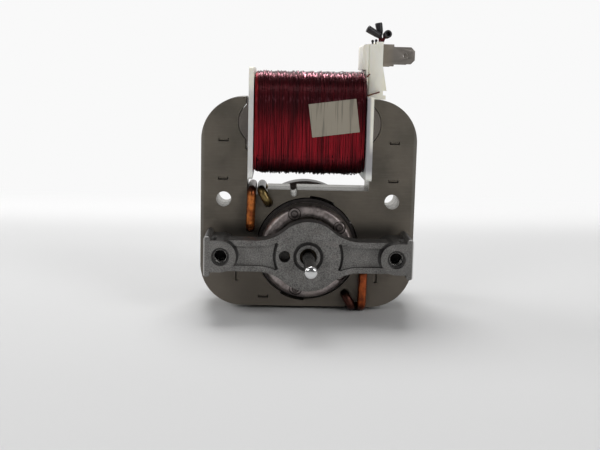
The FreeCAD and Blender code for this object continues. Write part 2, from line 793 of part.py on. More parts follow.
def draw_arms(sketch):
    """Two straight arms that flare, by arcs, into the round middle."""
    half, hub, flare = size("arm_half"), size("hub_round"), size("arm_flare")
    end = SCREW_SIDE + size("rib_out")
    across, up, share = flare_centre(half, hub, flare)
    touch_x, touch_z = across * share, up * share
    outline = Outline(sketch, end, -half).line(end, half).line(across, half)
    outline.arc(touch_x, touch_z, (across, up), -1).arc(-touch_x, touch_z, (0, 0), 1)
    outline.arc(-across, half, (-across, up), -1).line(-end, half).line(-end, -half)
    outline.line(-across, -half).arc(-touch_x, -touch_z, (-across, -up), -1)
    outline.arc(touch_x, -touch_z, (0, 0), 1).arc(across, -half, (across, -up), -1).close()
    return sketch


def flare_centre(half, hub, flare):
    """Centre of the arc that joins an arm's edge to the hub, and the hub's share of the way there."""
    up = half + flare
    across = root((hub + flare) * (hub + flare) - up * up)
    return across, up, hub / (hub + flare)


def draw_panel(sketch, side):
    """The sunk web of one arm, bounded by its flanges, the hub and the screw boss."""
    half, hub, flare = size("arm_half"), size("hub_round"), size("arm_flare")
    wall = size("panel_wall")
    across, up, _ = flare_centre(half, hub, flare)
    corner_x, corner_z = panel_corner(across, up, hub + flare, flare + wall, hub)
    edge = half - wall
    outline = Outline(sketch, SCREW_SIDE * side, -edge * side)
    outline.line(SCREW_SIDE * side, edge * side).line(across * side, edge * side)
    outline.arc(corner_x * side, corner_z * side, (across * side, up * side), -1)
    outline.arc(corner_x * side, -corner_z * side, (0, 0), -1)
    outline.arc(across * side, -edge * side, (across * side, -up * side), -1).close()


def panel_corner(across, up, reach, flare, inner):
    """Where the panel's flared edge meets its arc round the hub."""
    along = (inner * inner - flare * flare + reach * reach) / (reach * 2)
    off = root(inner * inner - along * along)
    return (along * across + off * up) / reach, (along * up - off * across) / reach


def draw_hub_groove(sketch, side):
    """The deeper groove between the sunk web and the round middle."""
    half, hub, flare = size("arm_half"), size("hub_round"), size("arm_flare")
    across, up, _ = flare_centre(half, hub, flare)
    far_x, far_z = panel_corner(across, up, hub + flare, flare + size("panel_wall"), hub)
    share = (hub - size("groove_wide")) / hub
    near_x, near_z = far_x * share, far_z * share
    outline = Outline(sketch, far_x * side, far_z * side)
    outline.arc(far_x * side, -far_z * side, (0, 0), -1).line(near_x * side, -near_z * side)
    outline.arc(near_x * side, near_z * side, (0, 0), 1).close()


def draw_boss(sketch, side):
    """A screw boss: round towards the hub, straight out to the end rib with its rounded ends."""
    radius, inner, thick = size("boss_round"), SCREW_SIDE + size("rib_out"), size("rib_thick")
    centre = SCREW_SIDE * side
    near, far = inner * side, (inner + thick) * side
    cap = size("rib_half") - thick / 2
    middle = (inner + thick / 2) * side
    outline = Outline(sketch, centre, -radius * side).line(near, -radius * side)
    outline.line(near, -cap * side).arc(far, -cap * side, (middle, -cap * side), 1)
    outline.line(far, cap * side).arc(near, cap * side, (middle, cap * side), 1)
    outline.line(near, radius * side).line(centre, radius * side)
    outline.close((centre, 0), 1)


def make_front_bracket():
    body = new_body("front_bracket")
    face = FRONT - HUB_FACE
    pad(body, draw_arms(face_sketch(body, face + size("arm_depth"), AXIS)), size("arm_depth"))
    back = face_sketch(body, face + HUB_DEPTH, AXIS)
    draw_circle(back, 0, 0, size("hub_back_round"))
    pad(body, back, HUB_DEPTH - size("panel_deep") * 2)

    for draw, depth in ((draw_panel, "panel_deep"), (draw_hub_groove, "groove_deep")):
        for side in (-1, 1):
            sketch = face_sketch(body, face, AXIS)
            draw(sketch, side)
            pocket(body, sketch, size(depth))

    for side in (-1, 1):
        sketch = face_sketch(body, FRONT, AXIS)
        draw_boss(sketch, side)
        pad(body, sketch, BOSS_FACE)

    notch = face_sketch(body, face, AXIS)
    inner, low = SCREW_SIDE + size("rib_out"), size("boss_round") - size("rib_notch_deep")
    for side in (-1, 1):
        draw_rectangle(notch, (inner - size("rib_notch_wide")) * side, low, inner * side, size("rib_half"))
    pocket(body, notch, size("arm_depth"))

    ring = face_sketch(body, face, AXIS)
    draw_circle(ring, 0, 0, size("collar_groove"))
    draw_circle(ring, 0, 0, size("collar_round"))
    pocket(body, ring, size("collar_deep"))
    side_hole = face_sketch(body, face, AXIS)
    draw_circle(side_hole, -size("side_hole_place"), 0, size("side_hole"))
    pocket(body, side_hole, size("side_hole_deep"))
    cut_bearing_seat(body, face, size("nose_hole"))
    cut_boss_holes(body)
    return finish_body(body)


def cut_bearing_seat(body, nose_face, nose):
    """The hole that the shaft enters, the edge that the bush rests on, and the pocket behind it."""
    ball = BUSH + size("seat_clear")
    floor = BUSH_MIDDLE - root(ball * ball - SEAT * SEAT)
    seat_end = BUSH_MIDDLE - size("bush_half") - size("seat_clear")
    back = FRONT - HUB_FACE + HUB_DEPTH
    turned(body, [(nose_face, 0), (nose_face, nose), (seat_end, nose), (seat_end, SEAT),
                  (floor, SEAT), (floor, POCKET), (back, POCKET), (back, 0)], "PartDesign::Groove")


def cut_boss_holes(body):
    """Tapped from the outside for whatever the motor drives, and from behind for the clamp screws."""
    tap_deep = BOSS_FACE - SCREW_ROOM - size("tap_floor")
    for radius, depth in ((size("tap_recess"), size("tap_recess_deep")), (size("tap_hole"), tap_deep)):
        sketch = face_sketch(body, FRONT - BOSS_FACE, AXIS)
        for side in (-1, 1):
            draw_circle(sketch, SCREW_SIDE * side, 0, radius)
        pocket(body, sketch, depth)
    rear = face_sketch(body, FRONT, AXIS)
    for side in (-1, 1):
        draw_circle(rear, SCREW_SIDE * side, 0, size("screw_hole"))
    pocket(body, rear, SCREW_ROOM, back=True)


def make_rear_bracket():
    """Made facing the shaft side, then turned round: arms, two bosses and a closed round bell."""
    body = new_body("rear_bracket")
    face = FRONT - HUB_FACE
    bell_face, bell_back = face - size("bell_stand"), face + size("bell_root")
    pad(body, draw_arms(face_sketch(body, face + size("arm_depth"), AXIS)), size("arm_depth"))
    drum, edge = SCREW_SIDE - size("bell_gap"), size("bell_edge")
    turned(body, [(bell_face, 0), (bell_back, 0), (bell_back, drum), (bell_face + edge, drum),
                  (bell_face, drum - edge, (bell_face + edge, drum - edge), 1)])
    back = face_sketch(body, face + HUB_DEPTH, AXIS)
    draw_circle(back, 0, 0, size("hub_back_round"))
    pad(body, back, HUB_DEPTH)
    for side in (-1, 1):
        sketch = face_sketch(body, FRONT, AXIS)
        draw_boss(sketch, side)
        pad(body, sketch, REAR_BOSS_FACE)
    dish = face_sketch(body, bell_face, AXIS)
    draw_circle(dish, 0, 0, drum - size("bell_wall"))
    draw_circle(dish, 0, 0, size("bell_hub"))
    pocket(body, dish, size("bell_dish"))
    cut_bearing_seat(body, FRONT - SHAFT_REAR - size("shaft_end_room"), size("nose_hole"))
    holes = face_sketch(body, FRONT, AXIS)
    for side in (-1, 1):
        draw_circle(holes, SCREW_SIDE * side, 0, size("screw_pass"))
    pocket(body, holes, back=True)
    turn_to_rear(body)
    return finish_body(body)


def make_bearing(name):
    """A sintered bush: a ball cut off square at both ends, bored for the shaft."""
    body = new_body(name)
    half = size("bush_half")
    end = root(BUSH * BUSH - half * half)
    bore = SHAFT + size("bush_clear")
    low, high = BUSH_MIDDLE - half, BUSH_MIDDLE + half
    turned(body, [(low, bore), (high, bore), (high, end), (low, end, (BUSH_MIDDLE, 0), 1)])
    return finish_body(body)


def make_felt(name):
    body = new_body(name)
    clear = size("felt_clear")
    ball = BUSH + size("seat_clear")
    start = BUSH_MIDDLE - root(ball * ball - SEAT * SEAT) + clear
    inner, outer = BUSH + clear, POCKET - clear
    end = start + size("felt_long")
    turned(body, [(start, inner), (end, inner), (end, outer), (start, outer)])
    return finish_body(body)


def make_retainer(name):
    """A spring plate pressed into the pocket, with notches that leave fingers round the bush."""
    body = new_body(name)
    clear = size("retainer_clear")
    ball, outer = BUSH + clear, POCKET - clear
    start = BUSH_MIDDLE + root(ball * ball - SEAT * SEAT)
    end = start + size("retainer_thick")
    turned(body, [(start, SEAT), (end, SEAT), (end, outer), (start, outer)])
    doc.recompute()
    slot = face_sketch(body, end, AXIS)
    half = size("retainer_notch") / 2
    draw_rectangle(slot, SEAT - half, -half, POCKET - half * 2, half)
    cut = pocket(body, slot, back=True)
    doc.recompute()
    ring = body.newObject("PartDesign::PolarPattern", f"{name}_notches")
    ring.Originals = [cut]
    ring.Axis = (slot, ["N_Axis"])
    ring.Angle = 360
    ring.Occurrences = 6
    body.Tip = ring
    return finish_body(body)


def make_clamp_screw(name, side):
    """A pan-head screw with a cross slot, driven from behind the rear bracket."""
    body = new_body(name)
    head_face = HALF_STACK + REAR_BOSS_FACE
    shank = size("screw_hole") - size("screw_clear")
    tip = FRONT - size("screw_reach")
    high, wide = size("screw_head_high"), size("screw_head")
    sketch = new_sketch(body, "YZ_Plane")
    outline = Outline(sketch, tip, 0).line(head_face + high, 0)
    outline.line(head_face + high, size("screw_flat")).line(head_face + size("screw_crown"), wide)
    outline.line(head_face, wide).line(head_face, shank).line(tip + shank / 2, shank)
    outline.line(tip, shank / 2).close()
    screw = body.newObject("PartDesign::Revolution", f"{name}_turned")
    screw.Profile = sketch
    screw.ReferenceAxis = (sketch, ["H_Axis"])
    screw.Angle = 360
    slot, long = size("screw_slot"), size("screw_slot_long")
    for across, up in ((slot, long), (long, slot)):
        cross = face_sketch(body, head_face + high)
        draw_rectangle(cross, -across / 2, -up / 2, across / 2, up / 2)
        pocket(body, cross, size("screw_slot_deep"), back=True)
    body.Placement = FreeCAD.Placement(FreeCAD.Vector(0, 0, 0), FreeCAD.Rotation())
    bind(body, "Placement.Base.x", SCREW_SIDE * side)
    bind(body, "Placement.Base.z", AXIS)
    return finish_body(body)


def make_shaft():
    """A straight shaft, with a groove for a snap ring where it leaves the front bracket."""
    body = new_body("shaft")
    tip = FRONT - HUB_FACE - size("shaft_out")
    rear = HALF_STACK + SHAFT_REAR
    edge = size("shaft_tip_chamfer")
    nose = FRONT - HUB_FACE
    outside, neck = nose - size("shaft_neck_wide"), SHAFT - size("shaft_neck_deep")
    turned(body, [(tip, 0), (rear, 0), (rear, SHAFT - edge), (rear - edge, SHAFT),
                  (nose, SHAFT), (nose, neck), (outside, neck), (outside, SHAFT),
                  (tip + edge, SHAFT), (tip, SHAFT - edge)])
    return finish_body(body)


def make_rotor_core():
    body = new_body("rotor_core")
    bore = SHAFT + size("fit_clear")
    turned(body, [(FRONT, bore), (HALF_STACK, bore), (HALF_STACK, ROTOR), (FRONT, ROTOR)])
    doc.recompute()
    hole = face_sketch(body, FRONT, AXIS)
    draw_circle(hole, ROTOR - size("bar_inset"), 0, size("bar_round") + size("fit_clear"))
    cut = pocket(body, hole)
    doc.recompute()
    ring = body.newObject("PartDesign::PolarPattern", "rotor_core_slots")
    ring.Originals = [cut]
    ring.Axis = (hole, ["N_Axis"])
    ring.Angle = 360
    bind(ring, "Occurrences", size("bar_count"))
    body.Tip = ring
    return finish_body(body)


def turned_end_ring(body, side):
    """One cast end ring, with a rounded rim; side is -1 at the shaft side and 1 at the rear."""
    inner, edge = END_RING - size("end_ring_wide"), size("end_ring_edge")
    near = HALF_STACK * side
    far = (HALF_STACK + size("end_ring_high")) * side
    shoulder = far - edge * side
    turned(body, [(near, inner + edge), (near, END_RING), (shoulder, END_RING),
                  (far, END_RING - edge, (shoulder, END_RING - edge), -side),
                  (far, inner + edge), (shoulder, inner)])


def make_rotor_cage():
    body = new_body("rotor_cage")
    for side in (-1, 1):
        turned_end_ring(body, side)
    doc.recompute()
    sink = size("bar_sink")
    bar = face_sketch(body, HALF_STACK + sink, AXIS)
    draw_circle(bar, ROTOR - size("bar_inset"), 0, size("bar_round"))
    rod = pad(body, bar, size("stack_depth") + sink * 2)
    doc.recompute()
    ring = body.newObject("PartDesign::PolarPattern", "rotor_cage_bars")
    ring.Originals = [rod]
    ring.Axis = (bar, ["N_Axis"])
    ring.Angle = 360
    bind(ring, "Occurrences", size("bar_count"))
    body.Tip = ring
    face = FRONT - size("end_ring_high")
    marks = face_sketch(body, face, AXIS)
    dimples = face_sketch(body, face, AXIS)
    for number in range(int(SIZES["mark_count"])):
        turn = size("mark_angle") + as_size(number * 360) / size("mark_count")
        spot = polar(END_RING - size("mark_inset"), turn)
        draw_circle(marks, *spot, size("mark_round"))
        draw_circle(marks, *spot, size("mark_island"))
        draw_circle(dimples, *spot, size("mark_dimple"))
    pocket(body, marks, size("mark_deep"))
    pocket(body, dimples, size("mark_deep"))
    return finish_body(body)


def washer_start():
    """Face of the thrust washer that the bush runs against."""
    return BUSH_MIDDLE + size("bush_half") + size("washer_gap")


def make_thrust_washer(name):
    body = new_body(name)
    start = washer_start()
    end = start + size("washer_thick")
    bore = SHAFT + size("fit_clear")
    turned(body, [(start, bore), (end, bore), (end, size("washer_round")), (start, size("washer_round"))])
    return finish_body(body)


def make_spacer(name):
    body = new_body(name)
    start = washer_start() + size("washer_thick") + size("fit_clear")
    bore = SHAFT + size("fit_clear")
    end = FRONT - size("fit_clear")
    turned(body, [(start, bore), (end, bore), (end, size("spacer_round")), (start, size("spacer_round"))])
    return finish_body(body)


# Each lead's two ends: how far out of the right flange, out of the stack's face and above the core.
LEADS = {
    "lead_start": ((-1.5, -0.6, 0.95), (2.2, -0.22, 2.15)),
    "lead_finish": ((-1.5, -0.5, 6.2), (-0.7, -0.22, 7.05)),
}
# Each splice's step across and back on the block's top, and the way its wire points.
SPLICES = {
    "left": (-0.7, -0.4, (-0.72, -0.12, 0.68)),
    "middle": (-0.1, 0.9, (-0.12, 0.35, 0.92)),
    "right": (0.5, -0.6, (0.5, -0.5, 0.7)),
}

pieces = [make_stator_stack(), make_coil_core(), make_bobbin(), make_winding(), make_winding_tape()]
for side_name, side in (("left", -1), ("right", 1)):
    for which in ("long", "short"):
        pieces.append(make_shading_ring(f"shading_ring_{side_name}_{which}", which, side))
pieces += [make_terminal("terminal_tab_front", -1), make_terminal("terminal_tab_rear", 1)]
for name, (first, last) in LEADS.items():
    pieces.append(make_lead(name, first, last))
for which, (across, back, direction) in SPLICES.items():
    pieces += make_splice(which, across, back, direction)
pieces += [make_front_bracket(), make_rear_bracket()]
for end_name in ("front", "rear"):
    pair = [
        make_bearing(f"{end_name}_bearing"),
        make_felt(f"{end_name}_bearing_felt"),
        make_retainer(f"{end_name}_bearing_retainer"),
        make_thrust_washer(f"{end_name}_thrust_washer"),
        make_spacer(f"{end_name}_spacer"),
    ]
    if end_name == "rear":
        for piece in pair:
            turn_to_rear(piece)
    pieces += pair
pieces += [make_clamp_screw("clamp_screw_left", -1), make_clamp_screw("clamp_screw_right", 1)]
pieces += [make_shaft(), make_rotor_core(), make_rotor_cage()]
doc.recompute()

for item in doc.Objects:
    for fault in ("Invalid", "Error"):
        if fault in item.State:
            raise RuntimeError(f"{item.Label} is marked {fault}")
for piece in pieces:
    if piece.Shape.isNull() or not piece.Shape.isValid() or not piece.Shape.Solids:
        raise RuntimeError(f"{piece.Label} has no sound solid")

os.makedirs("parts", exist_ok=True)
for piece in pieces:
    piece.Shape.exportStep(f"parts/{piece.Label}.step")
    print(f"{piece.Label}: {piece.Shape.Volume:.1f} mm3, {len(piece.Shape.Solids)} solid")
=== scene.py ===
import functools
import math

import bmesh
import bpy
from mathutils import Euler, Matrix, Vector


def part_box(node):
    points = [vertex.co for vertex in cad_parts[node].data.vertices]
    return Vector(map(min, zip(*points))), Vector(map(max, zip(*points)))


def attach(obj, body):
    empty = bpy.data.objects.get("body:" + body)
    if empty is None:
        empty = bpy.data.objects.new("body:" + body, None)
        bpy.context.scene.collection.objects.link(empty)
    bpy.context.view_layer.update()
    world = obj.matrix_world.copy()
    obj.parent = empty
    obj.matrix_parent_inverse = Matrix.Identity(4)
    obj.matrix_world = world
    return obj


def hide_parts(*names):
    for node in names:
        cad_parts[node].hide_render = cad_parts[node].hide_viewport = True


# The looks of an open-frame fan motor. Its frame is the CAD part's: the origin is the middle of the
# stator's foot, X runs along the foot, Z is up and the shaft points along -Y. Lengths are in metres,
# written as millimetres times MM.

MM = 0.001

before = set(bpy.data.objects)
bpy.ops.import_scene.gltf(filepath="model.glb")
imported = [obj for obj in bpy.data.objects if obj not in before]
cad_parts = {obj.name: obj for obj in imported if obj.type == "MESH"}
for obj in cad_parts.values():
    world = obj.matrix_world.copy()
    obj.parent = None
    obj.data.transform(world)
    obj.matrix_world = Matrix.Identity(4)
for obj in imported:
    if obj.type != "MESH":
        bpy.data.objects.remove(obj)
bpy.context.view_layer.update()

STACK_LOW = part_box("stator_stack")[0]
CORE_LOW, CORE_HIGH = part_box("coil_core")
WINDING_LOW, WINDING_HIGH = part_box("winding")
BRACKET_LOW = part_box("front_bracket")[0]
SHAFT_LOW, SHAFT_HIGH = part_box("shaft")
RING_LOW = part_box("shading_ring_right_long")[0]

FRONT_Y = STACK_LOW.y
AXIS_Z = (SHAFT_LOW.z + SHAFT_HIGH.z) / 2
FLOOR_Z = RING_LOW.z - 0.05 * MM
STACK_DEPTH = 15.0 * MM
SHEET_COUNT = 30
BOSS_X = 24.0 * MM
HUB_FACE_Y = BRACKET_LOW.y + 2.0 * MM
RECESS_RADIUS = 2.5 * MM


class Field:
    """A value that varies over a surface. Arithmetic on it adds Math nodes to its finish."""

    def __init__(self, finish, socket):
        self.finish = finish
        self.socket = socket

    def math(self, operation, *values):
        return self.finish.node("ShaderNodeMath", {"operation": operation}, values)

    def __add__(self, other):
        return self.math("ADD", self, other)

    def __radd__(self, other):
        return self.math("ADD", other, self)

    def __sub__(self, other):
        return self.math("SUBTRACT", self, other)

    def __rsub__(self, other):
        return self.math("SUBTRACT", other, self)

    def __mul__(self, other):
        return self.math("MULTIPLY", self, other)

    def __rmul__(self, other):
        return self.math("MULTIPLY", other, self)

    def __truediv__(self, other):
        return self.math("DIVIDE", self, other)

    def __abs__(self):
        return self.math("ABSOLUTE", self)

    def sine(self):
        return self.math("SINE", self)

    def root(self):
        return self.math("SQRT", self)

    def most(self, other):
        return self.math("MAXIMUM", self, other)

    def least(self, other):
        return self.math("MINIMUM", self, other)

    def step(self, low, high):
        """0 below low, 1 above high and smooth between them."""
        settings = {"interpolation_type": "SMOOTHSTEP"}
        return self.finish.node("ShaderNodeMapRange", settings, [self, low, high, 0.0, 1.0])


class Finish:
    """A material built from nodes."""

    def __init__(self, name):
        self.material = bpy.data.materials.new(name)
        self.material.use_nodes = True
        self.tree = self.material.node_tree
        self.tree.nodes.clear()
        self.place = self.node("ShaderNodeTexCoord", output="Object")

    def node(self, kind, settings=None, inputs=(), output=0):
        """Adds a node: first its settings, then the values or links of its sockets."""
        node = self.tree.nodes.new(kind)
        for setting, value in (settings or {}).items():
            setattr(node, setting, value)
        pairs = inputs.items() if isinstance(inputs, dict) else enumerate(inputs)
        for key, value in pairs:
            if isinstance(value, Field):
                self.tree.links.new(value.socket, node.inputs[key])
            elif value is not None:
                node.inputs[key].default_value = value
        return Field(self, node.outputs[output])

    def noise(self, size, detail=3.0, roughness=0.55, place=None, stretch=None):
        """Cloudy noise whose blobs are about size metres across, stretched along the axes."""
        spot = place or self.place
        if stretch:
            scale = [1.0 / factor for factor in stretch]
            spot = self.node("ShaderNodeMapping", None, {"Vector": spot, "Scale": scale})
        values = {"Vector": spot, "Scale": 1.0 / size, "Detail": detail, "Roughness": roughness}
        return self.node("ShaderNodeTexNoise", None, values)

    def cells(self, size):
        """The distance to the nearest of many points, about size metres apart."""
        return self.node("ShaderNodeTexVoronoi", {"feature": "F1"},
                         {"Vector": self.place, "Scale": 1.0 / size}, "Distance")

    def axis(self, letter):
        return self.node("ShaderNodeSeparateXYZ", None, [self.place], letter)

    def slope(self, letter):
        """1 where the surface looks along the axis, -1 where it looks the other way and 0 across it."""
        normal = self.node("ShaderNodeNewGeometry", output="True Normal")
        return self.node("ShaderNodeSeparateXYZ", None, [normal], letter)

    def facing(self, letter):
        """1 where the surface looks along the axis, either way, and 0 where it looks across it."""
        return abs(self.slope(letter))

    def mix(self, factor, first, second):
        """Goes from the first colour to the second."""
        node = self.tree.nodes.new("ShaderNodeMix")
        node.data_type = "RGBA"
        sockets = (node.inputs["Factor"], node.inputs[6], node.inputs[7])
        for socket, value in zip(sockets, (factor, first, second)):
            if isinstance(value, Field):
                self.tree.links.new(value.socket, socket)
            else:
                socket.default_value = value
        return Field(self, node.outputs[2])

    def bump(self, height, depth):
        """Raises the surface by the height field times depth in metres."""
        values = {"Height": height, "Distance": depth, "Strength": 1.0}
        return self.node("ShaderNodeBump", None, values, "Normal")

    def surface(self, **values):
        """Ends the material in a Principled shader; underscores stand for spaces."""
        inputs = {name.replace("_", " "): value for name, value in values.items()}
        shader = self.node("ShaderNodeBsdfPrincipled", None, inputs)
        self.node_output(shader)
        return self.material

    def node_output(self, shader):
        """Ends the material in the given shader."""
        output = self.tree.nodes.new("ShaderNodeOutputMaterial")
        self.tree.links.new(shader.socket, output.inputs["Surface"])


def tint(red, green, blue):
    """A colour as it would be read off the finished picture, on a scale of 255."""
    channels = []
    for level in (red, green, blue):
        share = level / 255.0
        channels.append(share / 12.92 if share <= 0.04045 else ((share + 0.055) / 1.055) ** 2.4)
    return (*channels, 1.0)


def lamination_finish(name, coats, cuts):
    """Rolled silicon steel with its oxide coat; cut edges are bare, brighter and lined by the shears."""
    plain, cloudy, streaked, low_down, arm_shadow_tone = coats
    fresh, worn = cuts
    finish = Finish(name)
    cloud = finish.noise(9 * MM, 4)
    rolled = finish.noise(0.5 * MM, 3, 0.6, stretch=(14.0, 1.0, 1.0))
    speck = finish.noise(0.28 * MM, 2, 0.5)
    is_face = finish.facing("Y").step(0.55, 0.8)
    coat = finish.mix(cloud.step(0.35, 0.7), plain, cloudy)
    coat = finish.mix(rolled.step(0.45, 0.8) * 0.35, coat, streaked)
    low = 1.0 - finish.axis("Z").step(4 * MM, 30 * MM)
    coat = finish.mix(low * 0.7, coat, low_down)
    out = abs(finish.axis("X"))
    coat = finish.mix(out.step(29.3 * MM, 30 * MM) * 0.3, coat, worn)
    # Painted shadow on the sheets just above the bracket's arms, where shade falls between the arms and the
    # stack.
    up = finish.axis("Z") - AXIS_Z
    arm_shadow = up.step(1.5 * MM, 4 * MM) * (1.0 - up.step(4.5 * MM, 9 * MM)) * (1.0 - out.step(23 * MM, 27 * MM))
    coat = finish.mix(arm_shadow * 0.75, coat, arm_shadow_tone)
    side = finish.mix(finish.noise(0.4 * MM, 2, 0.5, stretch=(1.0, 0.2, 1.0)), fresh, worn)
    return finish.surface(
        Base_Color=finish.mix(is_face, side, coat),
        Metallic=0.95 - is_face * 0.4,
        Roughness=0.26 + is_face * 0.18 + cloud * 0.1 + speck * 0.08,
        Normal=finish.bump(speck * 0.5 + rolled, 0.01 * MM),
    )


def enamel_finish(name, deep, bright, dark, painted_glint, painted_lit_strip):
    """Copper wire under dark red enamel, with painted light: a lit band low on the coil, painted shade almost
    black above and below, a lit strip at the left end and glints along the top.
    """
    finish = Finish(name)
    turn = finish.noise(0.33 * MM, 1, 0.4, stretch=(1.0, 40.0, 40.0))
    band = finish.noise(1.6 * MM, 2, 0.5, stretch=(1.0, 14.0, 9.0))
    patch = finish.noise(5 * MM, 2, stretch=(0.5, 1.0, 1.0))
    height = (finish.axis("Z") - WINDING_LOW.z) / (WINDING_HIGH.z - WINDING_LOW.z)
    rise = height + patch * 0.2 - 0.1
    # Painted light: a bright red strip along the coil's left end.
    lit_left_end = 1.0 - finish.axis("X").step(WINDING_LOW.x + 0.5 * MM, WINDING_LOW.x + 1.3 * MM)
    # Painted light and shade by height: a lit band low on the coil, going to the painted-shade colour above
    # and below.
    lit_band = rise.step(-0.02, 0.24) * (1.0 - rise.step(0.3, 0.72) * 0.85)
    colour = finish.mix(turn.step(0.34, 0.66) * 0.6 + band.step(0.35, 0.65) * 0.5, deep, bright)
    colour = finish.mix(lit_band.most(lit_left_end * 0.7), dark, colour)
    colour = finish.mix(lit_left_end * (1.0 - height.step(0.88, 0.95)) * 0.55, colour, painted_lit_strip)
    # Painted highlights: pale pink glint specks along the coil's top edge and a faint second row lower down.
    glint_sparks = finish.noise(0.42 * MM, 2, 0.5, stretch=(1.0, 5.0, 3.0)).step(0.5, 0.62)
    rounded = abs(finish.axis("Y")).step(WINDING_HIGH.y - 7 * MM, WINDING_HIGH.y - 5 * MM)
    glint_sparks = glint_sparks * (rounded * 0.75 + 0.25)
    clumps = finish.noise(2.4 * MM, 2, 0.5, stretch=(1.0, 3.0, 3.0)).step(0.3, 0.6)
    drip = finish.noise(0.5 * MM, 2, 0.5, stretch=(1.0, 12.0, 12.0))
    top = (height + (drip - 0.5) * 0.16).step(0.92, 0.99) * glint_sparks * (clumps * 0.8 + 0.2)
    second = height.step(0.68, 0.72) * (1.0 - height.step(0.73, 0.78)) * glint_sparks * 0.1
    return finish.surface(
        Base_Color=finish.mix(top.most(second), colour, painted_glint),
        Metallic=0.8,
        Roughness=0.3 + turn * 0.12 - height.step(0.88, 0.96) * 0.14,
        Coat_Weight=0.1 + top * 0.6,
        Coat_Roughness=0.12,
    )


def nylon_finish(name, milky, warm, shade, painted_flange_grey):
    """Moulded nylon: milky, with faint flow lines, warm in the thick block and with painted grey shade on the
    thin flange walls.
    """
    finish = Finish(name)
    cloud = finish.noise(7 * MM, 3)
    flow = finish.noise(2.2 * MM, 2, 0.5, stretch=(1.0, 1.0, 6.0))
    grain = finish.noise(0.12 * MM, 2)
    x, z = finish.axis("X"), finish.axis("Z")
    block = z.step(60 * MM, 66 * MM).most(x.step(15.9 * MM, 16.7 * MM) * z.step(44 * MM, 50 * MM))
    # Painted shade: the thin flange walls beside the coil are greyed.
    flange_shade = x.step(14 * MM, 15 * MM).most((1.0 - x.step(-15.5 * MM, -14.5 * MM)) * 0.45)
    colour = finish.mix(cloud.step(0.35, 0.7), milky, shade)
    colour = finish.mix(flange_shade * (1.0 - block) * z.step(38 * MM, 41 * MM), colour, painted_flange_grey)
    colour = finish.mix(block * (flow.step(0.3, 0.75) * 0.5 + 0.4), colour, warm)
    return finish.surface(
        Base_Color=colour,
        Roughness=0.36 + cloud * 0.12,
        Normal=finish.bump(grain + flow, 0.006 * MM),
        Subsurface_Weight=0.12,
        Subsurface_Radius=(1.2 * MM, 1.0 * MM, 0.7 * MM),
        Subsurface_Scale=1.0,
        IOR=1.53,
    )


def casting_finish(name, pale, dark, warm, oil_and_shade, rim_highlight_tint):
    """Pressure die casting: a sandy, pitted skin, with painted shade in its recesses, grooves and on its
    upward faces and a painted highlight along its rim.
    """
    finish = Finish(name)
    rim = abs(BRACKET_LOW.x)
    sand = finish.noise(0.3 * MM, 2, 0.7)
    pits = finish.cells(0.7 * MM).step(0.05, 0.3)
    cloud = finish.noise(3.5 * MM, 3)
    flow = finish.noise(1.5 * MM, 3, 0.6, stretch=(3.0, 1.0, 1.0))
    colour = finish.mix(sand.step(0.34, 0.66) * 0.7 + cloud.step(0.3, 0.72) * 0.3, dark, pale)
    colour = finish.mix(flow.step(0.5, 0.8) * 0.4, colour, warm)
    colour = finish.mix((1.0 - pits) * 0.3, colour, oil_and_shade)
    out = abs(finish.axis("X"))
    across = out - BOSS_X
    up = finish.axis("Z") - AXIS_Z
    round_boss = (across * across + up * up).root()
    # Painted shade: the tapped recesses, a crescent beside each boss, the hub's step foot, groove and collar
    # and the upward faces are darkened.
    recess = 1.0 - round_boss.step(RECESS_RADIUS - 0.12 * MM, RECESS_RADIUS)
    crescent = round_boss.step(4.25 * MM, 4.35 * MM) * (1.0 - round_boss.step(4.7 * MM, 5.1 * MM))
    crescent = crescent * (1.0 - across.step(-1.0 * MM, 0.5 * MM)) * up.step(-3.4 * MM, -1.5 * MM)
    deep = abs(finish.axis("Y")) - abs(HUB_FACE_Y)
    wall = 1.0 - finish.facing("Y").step(0.3, 0.7)
    inside = 1.0 - abs(up).step(3.8 * MM, 4.3 * MM)
    step_foot = wall * inside * (1.0 - deep.step(1.3 * MM, 1.9 * MM)) * deep.step(-1.7 * MM, -1.4 * MM)
    step_foot = step_foot * (1.0 - out.step(rim - 3 * MM, rim - 2 * MM))
    groove = (1.0 - wall) * (1.0 - deep.step(-1.5 * MM, -1.25 * MM)) * deep.step(-1.7 * MM, -1.6 * MM)
    round_hub = (finish.axis("X") * finish.axis("X") + up * up).root()
    collar = round_hub.step(3.1 * MM, 3.3 * MM) * (1.0 - round_hub.step(4.0 * MM, 4.25 * MM))
    collar = collar * (1.0 - deep.step(-0.95 * MM, -0.1 * MM))
    upward_shade = finish.slope("Z").step(0.3, 0.85)
    painted_shade = (recess * 0.75).most(step_foot * 0.85).most(groove * 0.75).most(collar * 0.75).most(upward_shade * 0.6)
    painted_shade = painted_shade.most(crescent * 0.85)
    # Painted highlight: a pale line along the outer rim and over the tops of the end ribs.
    rim_highlight = out.step(rim - 0.32 * MM, rim - 0.2 * MM).most(
        up.step(5.25 * MM, 5.4 * MM) * out.step(rim - 2 * MM, rim - 1.5 * MM))
    rim_highlight = rim_highlight * (deep - 2 * MM).step(-0.4 * MM, -0.25 * MM)
    colour = finish.mix(painted_shade, colour, oil_and_shade)
    return finish.surface(
        Base_Color=finish.mix(rim_highlight * 0.6, colour, rim_highlight_tint),
        Metallic=0.7,
        Roughness=0.45 + sand * 0.2,
        Normal=finish.bump(sand * 0.8 + pits * 0.4, 0.04 * MM),
    )


# The end ring's ejector marks: their number, inset from its rim, circle and first angle.
PIN_COUNT = 5
PIN_INSET = 2.1 * MM
PIN_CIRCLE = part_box("rotor_cage")[1].x - PIN_INSET
PIN_START = math.radians(38)


